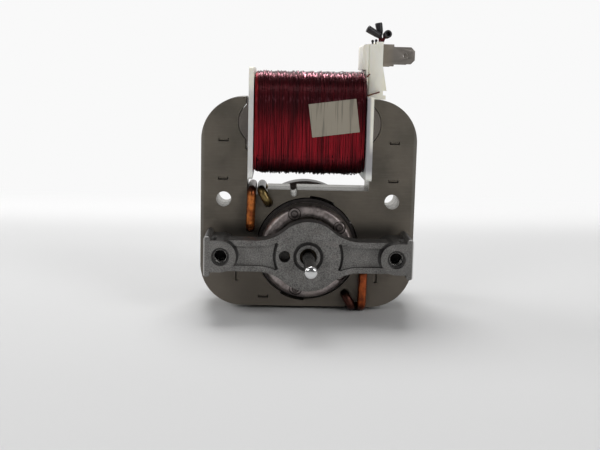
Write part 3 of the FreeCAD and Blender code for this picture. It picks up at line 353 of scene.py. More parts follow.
def cast_aluminium_finish(name, pale, dark, warm, oil_and_shade):
    """The rotor's cast end rings: satin, crowned and mottled, with a ring of ejector marks; painted shade
    rings each mark and darkens the ring's edges.
    """
    finish = Finish(name)
    x, z = finish.axis("X"), finish.axis("Z")
    squares = []
    for number in range(PIN_COUNT):
        turn = PIN_START + 2 * math.pi * number / PIN_COUNT
        across, above = x - PIN_CIRCLE * math.cos(turn), z - (AXIS_Z + PIN_CIRCLE * math.sin(turn))
        squares.append(across * across + above * above)
    away = functools.reduce(Field.least, squares).root()
    up = z - AXIS_Z
    radius = (x * x + up * up).root()
    front = 1.0 - finish.axis("Y").step(-9 * MM, -8 * MM)
    crown = radius.step(8.6 * MM, 10.9 * MM) * (1.0 - radius.step(12.2 * MM, 13.6 * MM))
    rings = (away.step(1.5 * MM, 1.6 * MM) * (1.0 - away.step(1.75 * MM, 1.95 * MM))).most(
        (away.step(0.6 * MM, 0.75 * MM) * 0.4 + 0.6) * (1.0 - away.step(1.05 * MM, 1.2 * MM)))
    mottle = finish.noise(1.3 * MM, 3, 0.6)
    grain = finish.noise(0.2 * MM, 2, 0.6)
    cloud = finish.noise(5 * MM, 2)
    colour = finish.mix(mottle.step(0.3, 0.7) * 0.7 + grain * 0.3, dark, pale)
    colour = finish.mix(cloud.step(0.4, 0.7) * 0.5, colour, warm)
    # Painted shade: dark rings round each ejector mark and darker edges inside and outside the crown.
    colour = finish.mix((rings * 0.85).most((1.0 - crown) * 0.5) * front, colour, oil_and_shade)
    return finish.surface(
        Base_Color=colour,
        Metallic=0.85,
        Roughness=0.3 + mottle * 0.12,
        Normal=finish.bump(mottle * 0.03 + grain * 0.05 + crown * front, 0.45 * MM),
    )


def turned_steel_finish(name, colour, worn, bright):
    """Ground steel, with faint bands round the shaft line and a painted bright reflection on its domed tip.
    """
    finish = Finish(name)
    bands = finish.noise(0.3 * MM, 2, 0.5, stretch=(40.0, 1.0, 40.0))
    # Painted reflection: the domed tip gets a brighter colour that stands in for the floor it mirrors.
    tip = 1.0 - finish.axis("Y").step(SHAFT_LOW.y + 0.5 * MM, SHAFT_LOW.y + 1.0 * MM)
    return finish.surface(
        Base_Color=finish.mix(tip, finish.mix(bands.step(0.2, 0.8), colour, worn), bright),
        Metallic=1.0,
        Roughness=0.16 + bands * 0.1,
        Normal=finish.bump(bands, 0.002 * MM),
    )


def plated_finish(name, colour, stain, stain_from, stain_to):
    """Tinned sheet steel, rolled lengthwise and stained near the end that is held."""
    finish = Finish(name)
    rolled = finish.noise(0.25 * MM, 3, 0.6, stretch=(12.0, 1.0, 1.0))
    cloud = finish.noise(1.8 * MM, 3)
    near = 1.0 - finish.axis("X").step(stain_from, stain_to)
    tone = finish.mix(near * 0.8 + cloud * 0.2, colour, stain)
    return finish.surface(
        Base_Color=tone,
        Metallic=0.8,
        Roughness=0.4 + rolled * 0.15,
        Normal=finish.bump(rolled + cloud * 0.3, 0.008 * MM),
    )


def copper_finish(name, bright, brown, burnt, ends):
    """Bare copper wire, browned by handling and burnt dark towards its two bends."""
    finish = Finish(name)
    cloud = finish.noise(1.7 * MM, 4, 0.6)
    drawn = finish.noise(0.16 * MM, 2, 0.5, stretch=(1.0, 1.0, 10.0))
    height = (finish.axis("Z") - ends[0]) / (ends[1] - ends[0]) + (cloud - 0.5) * 0.14
    clean = height.step(0.0, 0.18) * (1.0 - height.step(0.74, 0.95))
    colour = finish.mix(cloud.step(0.32, 0.68), brown, bright)
    return finish.surface(
        Base_Color=finish.mix(clean, burnt, colour),
        Metallic=0.9,
        Roughness=0.24 + cloud * 0.16,
        Normal=finish.bump(drawn + cloud * 0.5, 0.01 * MM),
    )


def tape_finish(name, colour, streak):
    """Woven glass tape soaked with varnish: a few darker threads along it and a fine weave."""
    finish = Finish(name)
    weave = (finish.axis("X") / (0.09 * MM)).sine() * (finish.axis("Z") / (0.09 * MM)).sine()
    threads = finish.noise(0.55 * MM, 2, 0.5, stretch=(1.0, 1.0, 22.0))
    cloud = finish.noise(4 * MM, 2)
    return finish.surface(
        Base_Color=finish.mix(threads.step(0.52, 0.68) * 0.8 + cloud * 0.15, colour, streak),
        Roughness=0.5 + threads * 0.15,
        Normal=finish.bump(weave * 0.3 + threads, 0.012 * MM),
    )


def plain_finish(name, first, second, size, metallic, roughness, relief):
    """A small hidden or dark piece: two close colours in blobs of one size."""
    finish = Finish(name)
    cloud = finish.noise(size, 3, 0.6)
    return finish.surface(
        Base_Color=finish.mix(cloud.step(0.3, 0.7), first, second),
        Metallic=metallic,
        Roughness=roughness + cloud * 0.12,
        Normal=finish.bump(cloud, relief),
    )


# Each steel's last coat colour is the painted shadow above the bracket's arms.
SHEET_STEEL = lamination_finish(
    "sheet_steel",
    (tint(112, 105, 95), tint(96, 91, 82), tint(128, 121, 110), tint(122, 114, 104), tint(30, 28, 25)),
    (tint(190, 187, 180), tint(150, 147, 140)))
CORE_STEEL = lamination_finish(
    "core_steel",
    (tint(122, 115, 109), tint(110, 103, 98), tint(134, 127, 120), tint(110, 103, 97), tint(30, 28, 25)),
    (tint(190, 187, 180), tint(150, 147, 140)))
ROTOR_STEEL = plain_finish(
    "oiled_rotor_steel", tint(62, 57, 55), tint(46, 43, 42), 1.5 * MM, 0.6, 0.38, 0.01 * MM)
# The third colour is painted shade, the fourth a painted glint and the fifth a painted lit strip.
ENAMEL = enamel_finish(
    "red_enamel", tint(84, 8, 18), tint(170, 27, 43), tint(42, 4, 12), tint(250, 164, 182), tint(216, 52, 58))
ENAMEL_SHADE = plain_finish(
    "red_enamel_in_shade", tint(46, 4, 10), tint(58, 7, 13), 2 * MM, 0.9, 0.5, 0.01 * MM)
# The last colour is the painted shade on the thin flange walls.
NYLON = nylon_finish(
    "milky_nylon", tint(248, 248, 243), tint(255, 250, 230), tint(240, 240, 234), tint(168, 167, 170))
# The fourth colour serves the dark pits and painted shade, the fifth the painted rim highlight.
CASTING = casting_finish(
    "die_cast_metal", tint(150, 148, 145), tint(88, 87, 85), tint(126, 117, 113), tint(42, 40, 40),
    tint(238, 237, 235))
# The last colour is painted shade.
CAST_RING = cast_aluminium_finish(
    "cast_end_ring", tint(200, 189, 186), tint(112, 104, 102), tint(160, 146, 142), tint(40, 36, 35))
# The last colour is the tip's painted reflection.
SHAFT_STEEL = turned_steel_finish("shaft_steel", tint(108, 107, 106), tint(94, 93, 92), tint(216, 216, 216))
TINNED = plated_finish("tinned_steel", tint(126, 121, 116), tint(158, 148, 134), 20.5 * MM, 24 * MM)
TAPE = tape_finish("varnished_tape", tint(158, 150, 135), tint(116, 110, 99))
SLEEVE = plain_finish("black_sleeving", tint(18, 16, 20), tint(34, 29, 34), 0.8 * MM, 0.0, 0.36, 0.03 * MM)
BRONZE = plain_finish("sintered_bronze", tint(64, 54, 42), tint(42, 36, 29), 0.15 * MM, 0.8, 0.5, 0.02 * MM)
FELT = plain_finish("oiled_felt", tint(196, 184, 160), tint(158, 146, 122), 0.2 * MM, 0.0, 0.85, 0.1 * MM)
SPRING = plain_finish("spring_steel", tint(120, 118, 116), tint(92, 90, 90), 1.2 * MM, 0.95, 0.3, 0.01 * MM)
SPACER = plain_finish("natural_nylon", tint(214, 208, 192), tint(196, 190, 172), 2 * MM, 0.0, 0.4, 0.01 * MM)
SCREW = plain_finish("zinc_plate", tint(176, 174, 166), tint(142, 138, 130), 0.9 * MM, 0.95, 0.3, 0.012 * MM)
CUT_THREAD = plain_finish(
    "cut_thread", tint(158, 156, 152), tint(112, 110, 108), 0.4 * MM, 0.9, 0.2, 0.01 * MM)
LEAD = plain_finish("bare_lead_wire", tint(128, 62, 38), tint(92, 34, 26), 0.6 * MM, 0.7, 0.3, 0.01 * MM)
SPLICE = plain_finish("splice_enamel", tint(112, 24, 36), tint(66, 12, 20), 0.5 * MM, 0.5, 0.3, 0.02 * MM)

NODE_FINISH = {
    "bobbin": NYLON,
    "terminal_tab_front": TINNED,
    "terminal_tab_rear": TINNED,
    "front_bracket": CASTING,
    "rear_bracket": CASTING,
    "rotor_core": ROTOR_STEEL,
    "rotor_cage": CAST_RING,
    "shaft": SHAFT_STEEL,
    "stator_stack": SHEET_STEEL,
    "coil_core": CORE_STEEL,
    "winding": ENAMEL_SHADE,
    "winding_tape": TAPE,
    "lead_start": LEAD,
    "lead_finish": LEAD,
    "clamp_screw_left": SCREW,
    "clamp_screw_right": SCREW,
}
# Each shading ring was heated differently: its clean, brown and burnt colours.
RING_TONES = {
    "shading_ring_left_long": (tint(214, 128, 64), tint(132, 66, 36), tint(66, 32, 24)),
    "shading_ring_left_short": (tint(134, 116, 74), tint(96, 78, 48), tint(44, 38, 28)),
    "shading_ring_right_long": (tint(186, 94, 50), tint(120, 58, 36), tint(54, 32, 28)),
    "shading_ring_right_short": (tint(96, 58, 48), tint(66, 40, 36), tint(34, 28, 26)),
}
for ring_name, (bright, brown, burnt) in RING_TONES.items():
    ring_low, ring_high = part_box(ring_name)
    NODE_FINISH[ring_name] = copper_finish(
        ring_name.replace("shading_ring", "copper"), bright, brown, burnt, (ring_low.z, ring_high.z))
for part_name in ("left", "middle", "right"):
    NODE_FINISH[f"splice_wire_{part_name}"] = SPLICE
    NODE_FINISH[f"splice_sleeve_{part_name}"] = SLEEVE
for end_name in ("front", "rear"):
    NODE_FINISH[f"{end_name}_bearing"] = BRONZE
    NODE_FINISH[f"{end_name}_bearing_felt"] = FELT
    NODE_FINISH[f"{end_name}_bearing_retainer"] = SPRING
    NODE_FINISH[f"{end_name}_thrust_washer"] = SPRING
    NODE_FINISH[f"{end_name}_spacer"] = SPACER


def set_finish(piece, material):
    piece.data.materials.clear()
    piece.data.materials.append(material)


for node_name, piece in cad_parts.items():
    set_finish(piece, NODE_FINISH[node_name])


def new_piece(name, mesh, material, body, replaces=()):
    """Puts a finished mesh on its body and hides the CAD nodes it stands for."""
    piece = bpy.data.objects.new(name, mesh)
    bpy.context.scene.collection.objects.link(piece)
    set_finish(piece, material)
    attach(piece, body)
    if replaces:
        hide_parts(*replaces)
    return piece


class Recipe:
    """A Geometry Nodes tree with named inputs for its sizes."""

    KINDS = {"length": "NodeSocketFloat", "count": "NodeSocketInt"}

    def __init__(self, name):
        self.tree = bpy.data.node_groups.new(name, "GeometryNodeTree")
        self.tree.interface.new_socket("Geometry", in_out="INPUT", socket_type="NodeSocketGeometry")
        self.tree.interface.new_socket("Geometry", in_out="OUTPUT", socket_type="NodeSocketGeometry")
        self.inputs = self.tree.nodes.new("NodeGroupInput")
        self.outputs = self.tree.nodes.new("NodeGroupOutput")

    def given(self, name, kind="length"):
        self.tree.interface.new_socket(name, in_out="INPUT", socket_type=self.KINDS[kind])
        return self.inputs.outputs[name]

    def node(self, kind, settings=None, inputs=(), output=0):
        """Adds a node: first its settings, then the values or links of its sockets."""
        node = self.tree.nodes.new(kind)
        for setting, value in (settings or {}).items():
            setattr(node, setting, value)
        pairs = inputs.items() if isinstance(inputs, dict) else enumerate(inputs)
        for key, value in pairs:
            if isinstance(value, bpy.types.NodeSocket):
                self.tree.links.new(value, node.inputs[key])
            elif value is not None:
                node.inputs[key].default_value = value
        return node.outputs[output]

    def math(self, operation, *values):
        return self.node("ShaderNodeMath", {"operation": operation}, values)

    def vector(self, x=0.0, y=0.0, z=0.0):
        return self.node("ShaderNodeCombineXYZ", None, [x, y, z])

    def join(self, *parts):
        node = self.tree.nodes.new("GeometryNodeJoinGeometry")
        for part in parts:
            self.tree.links.new(part, node.inputs[0])
        return node.outputs[0]

    def finish(self, geometry, material):
        whole = self.node("GeometryNodeRealizeInstances", None, [geometry])
        painted = self.node("GeometryNodeSetMaterial", None, {"Geometry": whole, "Material": material})
        self.tree.links.new(painted, self.outputs.inputs[0])

    def cook(self, start, values):
        """Runs the tree on a starting mesh and returns the plain mesh that it makes."""
        holder = bpy.data.objects.new("recipe_holder", start)
        bpy.context.scene.collection.objects.link(holder)
        modifier = holder.modifiers.new("recipe", "NODES")
        modifier.node_group = self.tree
        for item in self.tree.interface.items_tree:
            if item.item_type == "SOCKET" and item.in_out == "INPUT" and item.name in values:
                modifier[item.identifier] = values[item.name]
        return frozen(holder)


def frozen(holder):
    """The holder's mesh as its modifiers leave it. The holder itself is removed."""
    depsgraph = bpy.context.evaluated_depsgraph_get()
    mesh = bpy.data.meshes.new_from_object(holder.evaluated_get(depsgraph))
    bpy.data.objects.remove(holder)
    return mesh


def smooth_by_angle(mesh, degrees=32):
    for polygon in mesh.polygons:
        polygon.use_smooth = True
    mesh.set_sharp_from_angle(angle=math.radians(degrees))
    return mesh


def sheet_recipe(material):
    """One flat outline made into a pile of thin sheets, none of them quite in line."""
    recipe = Recipe("sheet_pile")
    thickness = recipe.given("Thickness")
    pitch = recipe.given("Pitch")
    count = recipe.given("Count", "count")
    shuffle = recipe.given("Shuffle")
    outline = recipe.inputs.outputs["Geometry"]
    back = recipe.node("GeometryNodeFlipFaces", None, [outline])
    raised = recipe.node("GeometryNodeExtrudeMesh", {"mode": "FACES"}, {
        "Mesh": back, "Offset": recipe.vector(0.0, 1.0, 0.0), "Offset Scale": thickness, "Individual": False})
    sheet = recipe.node("GeometryNodeMergeByDistance", None, {
        "Geometry": recipe.join(outline, raised), "Distance": 0.001 * MM})
    line = recipe.node("GeometryNodeMeshLine", {"mode": "OFFSET"}, {
        "Count": count, "Offset": recipe.vector(0.0, pitch, 0.0)})
    pile = recipe.node("GeometryNodeInstanceOnPoints", None, {"Points": line, "Instance": sheet})
    low = recipe.math("MULTIPLY", shuffle, -1.0)
    step = recipe.node("FunctionNodeRandomValue", {"data_type": "FLOAT_VECTOR"}, {
        "Min": recipe.vector(low, 0.0, low), "Max": recipe.vector(shuffle, 0.0, shuffle), "Seed": 4})
    moved = recipe.node("GeometryNodeTranslateInstances", None, {"Instances": pile, "Translation": step})
    recipe.finish(moved, material)
    return recipe


def front_outline(node):
    """The flat front of a stamped node, as one sheet's outline."""
    shape = bmesh.new()
    shape.from_mesh(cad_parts[node].data)
    bmesh.ops.remove_doubles(shape, verts=shape.verts, dist=0.0005 * MM)
    front = min(vertex.co.y for vertex in shape.verts)
    others = [face for face in shape.faces
              if any(vertex.co.y > front + 0.01 * MM for vertex in face.verts)]
    bmesh.ops.delete(shape, geom=others, context="FACES")
    mesh = bpy.data.meshes.new(f"{node}_outline")
    shape.to_mesh(mesh)
    shape.free()
    return mesh


def lay_sheets(node, name, material, count, shuffle, gap=0.0):
    """Stands a pile of sheets in for a stamped node, smaller by the gap all round."""
    pitch = STACK_DEPTH / count
    outline = front_outline(node)
    low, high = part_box(node)
    middle, half = (low + high) / 2, (high - low) / 2
    for vertex in outline.vertices:
        vertex.co.x = middle.x + (vertex.co.x - middle.x) * (1.0 - gap / half.x)
        vertex.co.z = middle.z + (vertex.co.z - middle.z) * (1.0 - gap / half.z)
    mesh = sheet_recipe(material).cook(outline, {
        "Thickness": pitch * 0.9, "Pitch": pitch, "Count": count, "Shuffle": shuffle})
    return new_piece(name, mesh, material, "frame", [node])


lay_sheets("stator_stack", "stator_sheets", SHEET_STEEL, SHEET_COUNT, 0.02 * MM)
lay_sheets("coil_core", "core_sheets", CORE_STEEL, SHEET_COUNT, 0.02 * MM, gap=0.14 * MM)

# The marks' middles are (x, z) in mm on the stack's face. Most lie flat; two beside the foot stand up.
DIMPLE_HALF = Vector((1.45 * MM, 0.45 * MM))
DIMPLES_LYING = [(-24.2, 47.6), (24.2, 47.6), (-24.2, 36.7), (24.2, 36.7), (-12.3, 2.7)]
DIMPLES_STANDING = [(-20.0, 8.6), (20.0, 8.6)]
DIMPLE_DEEP = 0.35 * MM
DIMPLE_GAP = 0.26 * MM


def add_block(shape, low, high):
    """Adds a closed box between two corners."""
    middle = (Vector(low) + Vector(high)) / 2
    size = Vector(high) - Vector(low)
    place = Matrix.Translation(middle) @ Matrix.Diagonal((*size, 1.0))
    return bmesh.ops.create_cube(shape, size=1.0, matrix=place)["verts"]


def interlock_marks():
    """The lanced marks that lock the sheets: flush along one edge and pushed in along the other."""
    shape = bmesh.new()
    for standing, places in ((False, DIMPLES_LYING), (True, DIMPLES_STANDING)):
        half_x, half_z = (DIMPLE_HALF.y, DIMPLE_HALF.x) if standing else DIMPLE_HALF
        for x, z in places:
            outward = 1.0 if x > 0 else -1.0
            middle = Vector((x * MM, FRONT_Y + STACK_DEPTH / 2, z * MM))
            corners = add_block(shape, middle - Vector((half_x, STACK_DEPTH / 2, half_z)),
                                middle + Vector((half_x, STACK_DEPTH / 2, half_z)))
            for corner in corners:
                side = corner.co - middle
                free = side.x * outward if standing else -side.z
                if free > 0:
                    corner.co.y += DIMPLE_DEEP
                    corner.co -= Vector((DIMPLE_GAP * outward, 0, 0) if standing else (0, 0, -DIMPLE_GAP))
                if standing:
                    corner.co.z -= math.copysign(DIMPLE_GAP, side.z)
                else:
                    corner.co.x -= math.copysign(DIMPLE_GAP, side.x)
    mesh = bpy.data.meshes.new("interlock_marks")
    shape.to_mesh(mesh)
    shape.free()
    return new_piece("interlock_marks", mesh, SHEET_STEEL, "frame")


interlock_marks()

WIRE = 0.155 * MM
TURN_PITCH = 0.298 * MM
SAG = 0.5 * MM
COIL_CORNER = 6 * MM
COIL_END_ROUND = 0.9 * MM


def turns_recipe():
    """Loops of wire laid side by side, each a little off its neighbours' line."""
    recipe = Recipe("coil_turns")
    half_y = recipe.given("Half across")
    half_z = recipe.given("Half high")
    corner = recipe.given("Corner")
    wire = recipe.given("Wire")
    pitch = recipe.given("Pitch")
    count = recipe.given("Count", "count")
    start = recipe.given("Start")
    middle_z = recipe.given("Middle height")
    wave = recipe.given("Wave")
    edge = recipe.given("End round")
    hang = recipe.given("Hang")
    ragged = recipe.given("Ragged")
    lift = recipe.given("Lift")
    box = recipe.node("GeometryNodeCurvePrimitiveQuadrilateral", {"mode": "RECTANGLE"}, {
        "Width": recipe.math("MULTIPLY", half_y, 2.0), "Height": recipe.math("MULTIPLY", half_z, 2.0)})
    rounded = recipe.node("GeometryNodeFilletCurve", {"mode": "POLY"}, {
        "Curve": box, "Radius": corner, "Limit Radius": True, "Count": 7})
    stood = recipe.node("GeometryNodeTransform", None, {
        "Geometry": rounded, "Rotation": Euler((math.pi / 2, 0.0, math.pi / 2))})
    even = recipe.node("GeometryNodeResampleCurve", None, {"Curve": stood, "Count": 64})
    round_wire = recipe.node("GeometryNodeCurvePrimitiveCircle", {"mode": "RADIUS"}, {
        "Resolution": 6, "Radius": wire})
    loop = recipe.node("GeometryNodeCurveToMesh", None, {"Curve": even, "Profile Curve": round_wire})
    line = recipe.node("GeometryNodeMeshLine", {"mode": "OFFSET"}, {
        "Count": count, "Start Location": recipe.vector(start, 0.0, middle_z),
        "Offset": recipe.vector(pitch, 0.0, 0.0)})
    index = recipe.node("GeometryNodeInputIndex")
    last = recipe.math("SUBTRACT", count, 1.0)
    from_end = recipe.math("MINIMUM", index, recipe.math("SUBTRACT", last, index))
    near = recipe.math("DIVIDE", recipe.math("MULTIPLY", from_end, pitch), edge)
    slope = recipe.math("SUBTRACT", 1.0, recipe.math("MINIMUM", near, 1.0))
    level = recipe.math("SQRT", recipe.math("SUBTRACT", 1.0, recipe.math("MULTIPLY", slope, slope)))
    drop = recipe.math("MULTIPLY", edge, recipe.math("SUBTRACT", 1.0, level))
    uneven = recipe.node("FunctionNodeRandomValue", {"data_type": "FLOAT"}, {
        "Min": 0.0, "Max": wave, "Seed": 7}, 1)
    inward = recipe.math("ADD", drop, uneven)
    loose = recipe.node("FunctionNodeRandomValue", {"data_type": "FLOAT"}, {
        "Min": 0.0, "Max": ragged, "Seed": 23}, 1)
    slack = recipe.math("MULTIPLY", hang, recipe.math("MINIMUM", recipe.math("MULTIPLY", near, 0.4), 1.0))
    proud = recipe.node("FunctionNodeRandomValue", {"data_type": "FLOAT"}, {
        "Min": 0.0, "Max": lift, "Seed": 31}, 1)
    over = recipe.math("SUBTRACT", recipe.math("ADD", half_z, proud), inward)
    under = recipe.math("ADD", half_z, recipe.math("SUBTRACT", slack, loose))
    tall = recipe.math("DIVIDE", recipe.math("ADD", over, under), recipe.math("MULTIPLY", half_z, 2.0))
    size = recipe.vector(1.0, recipe.math("SUBTRACT", 1.0, recipe.math("DIVIDE", inward, half_y)), tall)
    shifted = recipe.node("GeometryNodeSetPosition", None, {
        "Geometry": line, "Offset": recipe.vector(0.0, 0.0, recipe.math(
            "MULTIPLY", recipe.math("SUBTRACT", over, under), 0.5))})
    lean = recipe.node("FunctionNodeRandomValue", {"data_type": "FLOAT_VECTOR"}, {
        "Min": (0.0, -0.004, -0.006), "Max": (0.0, 0.004, 0.006), "Seed": 11})
    turns = recipe.node("GeometryNodeInstanceOnPoints", None, {
        "Points": shifted, "Instance": loop, "Scale": size, "Rotation": lean})
    whole = recipe.node("GeometryNodeRealizeInstances", None, [turns])
    spot = recipe.node("GeometryNodeInputPosition")
    drift = recipe.node("ShaderNodeTexNoise", None, {
        "Vector": spot, "Scale": 1.0 / (3.2 * MM), "Detail": 2.0}, 1)
    centred = recipe.node("ShaderNodeVectorMath", {"operation": "SUBTRACT"}, [drift, (0.5, 0.5, 0.5)])
    shift = recipe.node("ShaderNodeVectorMath", {"operation": "MULTIPLY"}, [
        centred, recipe.vector(recipe.math("MULTIPLY", wave, 2.6), recipe.math("MULTIPLY", wave, 0.6),
                               recipe.math("MULTIPLY", wave, 1.2))])
    waved = recipe.node("GeometryNodeSetPosition", None, {"Geometry": whole, "Offset": shift})
    smooth = recipe.node("GeometryNodeSetShadeSmooth", None, {"Geometry": waved, "Shade Smooth": True})
    recipe.finish(smooth, ENAMEL)
    return recipe


def wind_turns():
    """The winding's outermost layer, turn by turn."""
    middle_z = (WINDING_LOW.z + WINDING_HIGH.z) / 2
    wide = WINDING_HIGH.x - WINDING_LOW.x - WIRE * 2
    count = int(wide / TURN_PITCH) + 1
    mesh = turns_recipe().cook(bpy.data.meshes.new("no_start"), {
        "Half across": WINDING_HIGH.y - WIRE,
        "Half high": (WINDING_HIGH.z - WINDING_LOW.z) / 2 - WIRE,
        "Corner": COIL_CORNER,
        "Wire": WIRE,
        "Pitch": wide / (count - 1),
        "Count": count,
        "Start": WINDING_LOW.x + WIRE,
        "Middle height": middle_z,
        "Wave": 0.16 * MM,
        "End round": COIL_END_ROUND,
        "Hang": SAG + WIRE * 2,
        "Ragged": 0.6 * MM,
        "Lift": 0.45 * MM,
    })
    return new_piece("coil_turns", mesh, ENAMEL, "frame")


def round_loop(half_y, low_z, high_z, radius, steps):
    """Points round a rectangle in the YZ plane with rounded corners."""
    points = []
    for quarter, (side_y, side_z) in enumerate(((1, 1), (-1, 1), (-1, -1), (1, -1))):
        centre_y = side_y * (half_y - radius)
        centre_z = high_z - radius if side_z > 0 else low_z + radius
        for step in range(steps + 1):
            turn = math.pi / 2 * (quarter + step / steps)
            points.append((centre_y + radius * math.cos(turn), centre_z + radius * math.sin(turn)))
    return points


def inner_layers():
    """The winding under its outermost layer, as a smooth dark ring round the bobbin's tube."""
    inset = WIRE * 1.4
    tube_half, tube_wall = 8.7 * MM, 1.2 * MM
    outer = round_loop(
        WINDING_HIGH.y - inset, WINDING_LOW.z - 0.15 * MM, WINDING_HIGH.z - inset, COIL_CORNER, 8)
    inner = round_loop(tube_half, CORE_LOW.z - tube_wall, CORE_HIGH.z + tube_wall, 0.2 * MM, 8)
    shape = bmesh.new()
    rings = []
    low_x, high_x, edge = WINDING_LOW.x, WINDING_HIGH.x, COIL_END_ROUND
    middle_z = (WINDING_LOW.z + WINDING_HIGH.z) / 2
    for loop, x, shrink in ((inner, low_x, 0.0), (outer, low_x, edge), (outer, low_x + edge, 0.0),
                            (outer, high_x - edge, 0.0), (outer, high_x, edge), (inner, high_x, 0.0)):
        ring = []
        share = 1.0 - shrink / WINDING_HIGH.y
        for y, z in loop:
            ring.append(shape.verts.new((x, y * share, middle_z + (z - middle_z) * share)))
        rings.append(ring)
    for first, second in zip(rings, rings[1:] + rings[:1]):
        for number in range(len(first)):
            following = (number + 1) % len(first)
            shape.faces.new((first[number], first[following], second[following], second[number]))
    bmesh.ops.recalc_face_normals(shape, faces=shape.faces)
    mesh = bpy.data.meshes.new("inner_layers")
    shape.to_mesh(mesh)
    shape.free()
    return new_piece(
        "inner_layers", smooth_by_angle(mesh), ENAMEL_SHADE, "frame", ["winding"])


wind_turns()
inner_layers()


TAP_MOUTH_Y = BRACKET_LOW.y + 1.25 * MM
TAP_RADIUS = 1.65 * MM
TAP_ROOT = 1.98 * MM
TAP_LENGTH = 6.5 * MM
TAP_PITCH = 0.7 * MM
TAP_RIDGE = 0.26 * MM


def widen_taps(shape):
    """Opens the two tapped holes from the thread's crests to its roots."""
    for vertex in shape.verts:
        middle = Vector((math.copysign(BOSS_X, vertex.co.x), vertex.co.y, AXIS_Z))
        out = vertex.co - middle
        if abs(out.length - TAP_RADIUS) < 0.03 * MM:
            vertex.co = middle + out.normalized() * TAP_ROOT


def broken_edges(node, name, width, material, change=None):
    """The node's own shape with its sharp edges broken, to stand for the node."""
    shape = bmesh.new()
    shape.from_mesh(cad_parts[node].data)
    bmesh.ops.remove_doubles(shape, verts=shape.verts, dist=0.0005 * MM)
    if change:
        change(shape)
    bmesh.ops.dissolve_limit(shape, angle_limit=math.radians(0.5), verts=shape.verts, edges=shape.edges)
    mesh = bpy.data.meshes.new(name)
    shape.to_mesh(mesh)
    shape.free()
    holder = bpy.data.objects.new(f"{name}_holder", mesh)
    bpy.context.scene.collection.objects.link(holder)
    bevel = holder.modifiers.new("broken_edge", "BEVEL")
    bevel.width = width
    bevel.segments = 2
    bevel.limit_method = "ANGLE"
    bevel.angle_limit = math.radians(35)
    bevel.miter_outer = "MITER_ARC"
    return new_piece(name, smooth_by_angle(frozen(holder)), material, "frame", [node])


broken_edges("front_bracket", "front_bracket_casting", 0.22 * MM, CASTING, widen_taps)
broken_edges("rear_bracket", "rear_bracket_casting", 0.22 * MM, CASTING)
broken_edges("bobbin", "bobbin_moulding", 0.12 * MM, NYLON)
for which in ("front", "rear"):
    broken_edges(f"terminal_tab_{which}", f"terminal_blade_{which}", 0.1 * MM, TINNED)


def thread_recipe():
    """A screw thread's ridges inside a tapped hole."""
    recipe = Recipe("tapped_thread")
    radius = recipe.given("Radius")
    length = recipe.given("Length")
    pitch = recipe.given("Pitch")
    ridge = recipe.given("Ridge")
    helix = recipe.node("GeometryNodeCurveSpiral", None, {
        "Resolution": 28, "Rotations": recipe.math("DIVIDE", length, pitch),
        "Start Radius": radius, "End Radius": radius, "Height": length})
    profile = recipe.node("GeometryNodeCurvePrimitiveCircle", {"mode": "RADIUS"}, {
        "Resolution": 3, "Radius": ridge})
    thread = recipe.node("GeometryNodeCurveToMesh", None, {
        "Curve": helix, "Profile Curve": profile, "Fill Caps": True})
    outline = recipe.inputs.outputs["Geometry"]
    both = recipe.node("GeometryNodeInstanceOnPoints", None, {
        "Points": outline, "Instance": thread, "Rotation": Euler((-math.pi / 2, 0.0, 0.0))})
    recipe.finish(both, CUT_THREAD)
    return recipe


def cut_threads():
    """The threads of the front bracket's two tapped holes."""
    starts = bpy.data.meshes.new("tap_starts")
    starts.from_pydata([(side * BOSS_X, TAP_MOUTH_Y, AXIS_Z) for side in (-1, 1)], [], [])
    mesh = thread_recipe().cook(starts, {
        "Radius": (TAP_RADIUS + TAP_ROOT) / 2, "Length": TAP_LENGTH, "Pitch": TAP_PITCH, "Ridge": TAP_RIDGE})
    return new_piece("tapped_threads", mesh, CUT_THREAD, "frame")


cut_threads()


def turn_profile(shape, start, way, profile, sides=32):
    """Adds a closed round shape: each (along, radius) pair of the profile is a ring square to the way."""
    across = way.orthogonal().normalized()
    up = way.cross(across).normalized()
    rings = []
    for along, radius in profile:
        ring = []
        for step in range(sides):
            turn = 2 * math.pi * step / sides
            ring.append(shape.verts.new(
                start + way * along + (across * math.cos(turn) + up * math.sin(turn)) * radius))
        rings.append(ring)
    for first, second in zip(rings, rings[1:]):
        for step in range(sides):
            following = (step + 1) % sides
            shape.faces.new((first[step], first[following], second[following], second[step]))
    shape.faces.new(rings[0])
    shape.faces.new(rings[-1])


def turned_piece(name, turnings, material, body, replaces=()):
    """One piece made of round shapes, each given as (start, way, profile) in metres."""
    shape = bmesh.new()
    for start, way, profile in turnings:
        turn_profile(shape, start, way, profile)
    bmesh.ops.recalc_face_normals(shape, faces=shape.faces)
    mesh = bpy.data.meshes.new(name)
    shape.to_mesh(mesh)
    shape.free()
    return new_piece(name, smooth_by_angle(mesh, 40), material, body, replaces)


def domed(long, radius, dome):
    """The end of a profile: a low dome that reaches its full length on the axis."""
    steps = 10
    return [(long - dome + dome * math.sin(math.pi / 2 * step / steps),
             radius * math.cos(math.pi / 2 * step / (steps + 0.3))) for step in range(steps + 1)]


SHAFT_GROOVE_WIDE = 0.8 * MM
SHAFT_GROOVE_DEEP = 0.3 * MM
SHAFT_REAR_DOME = 0.4 * MM
SHAFT_TIP_DOME = 0.75 * MM


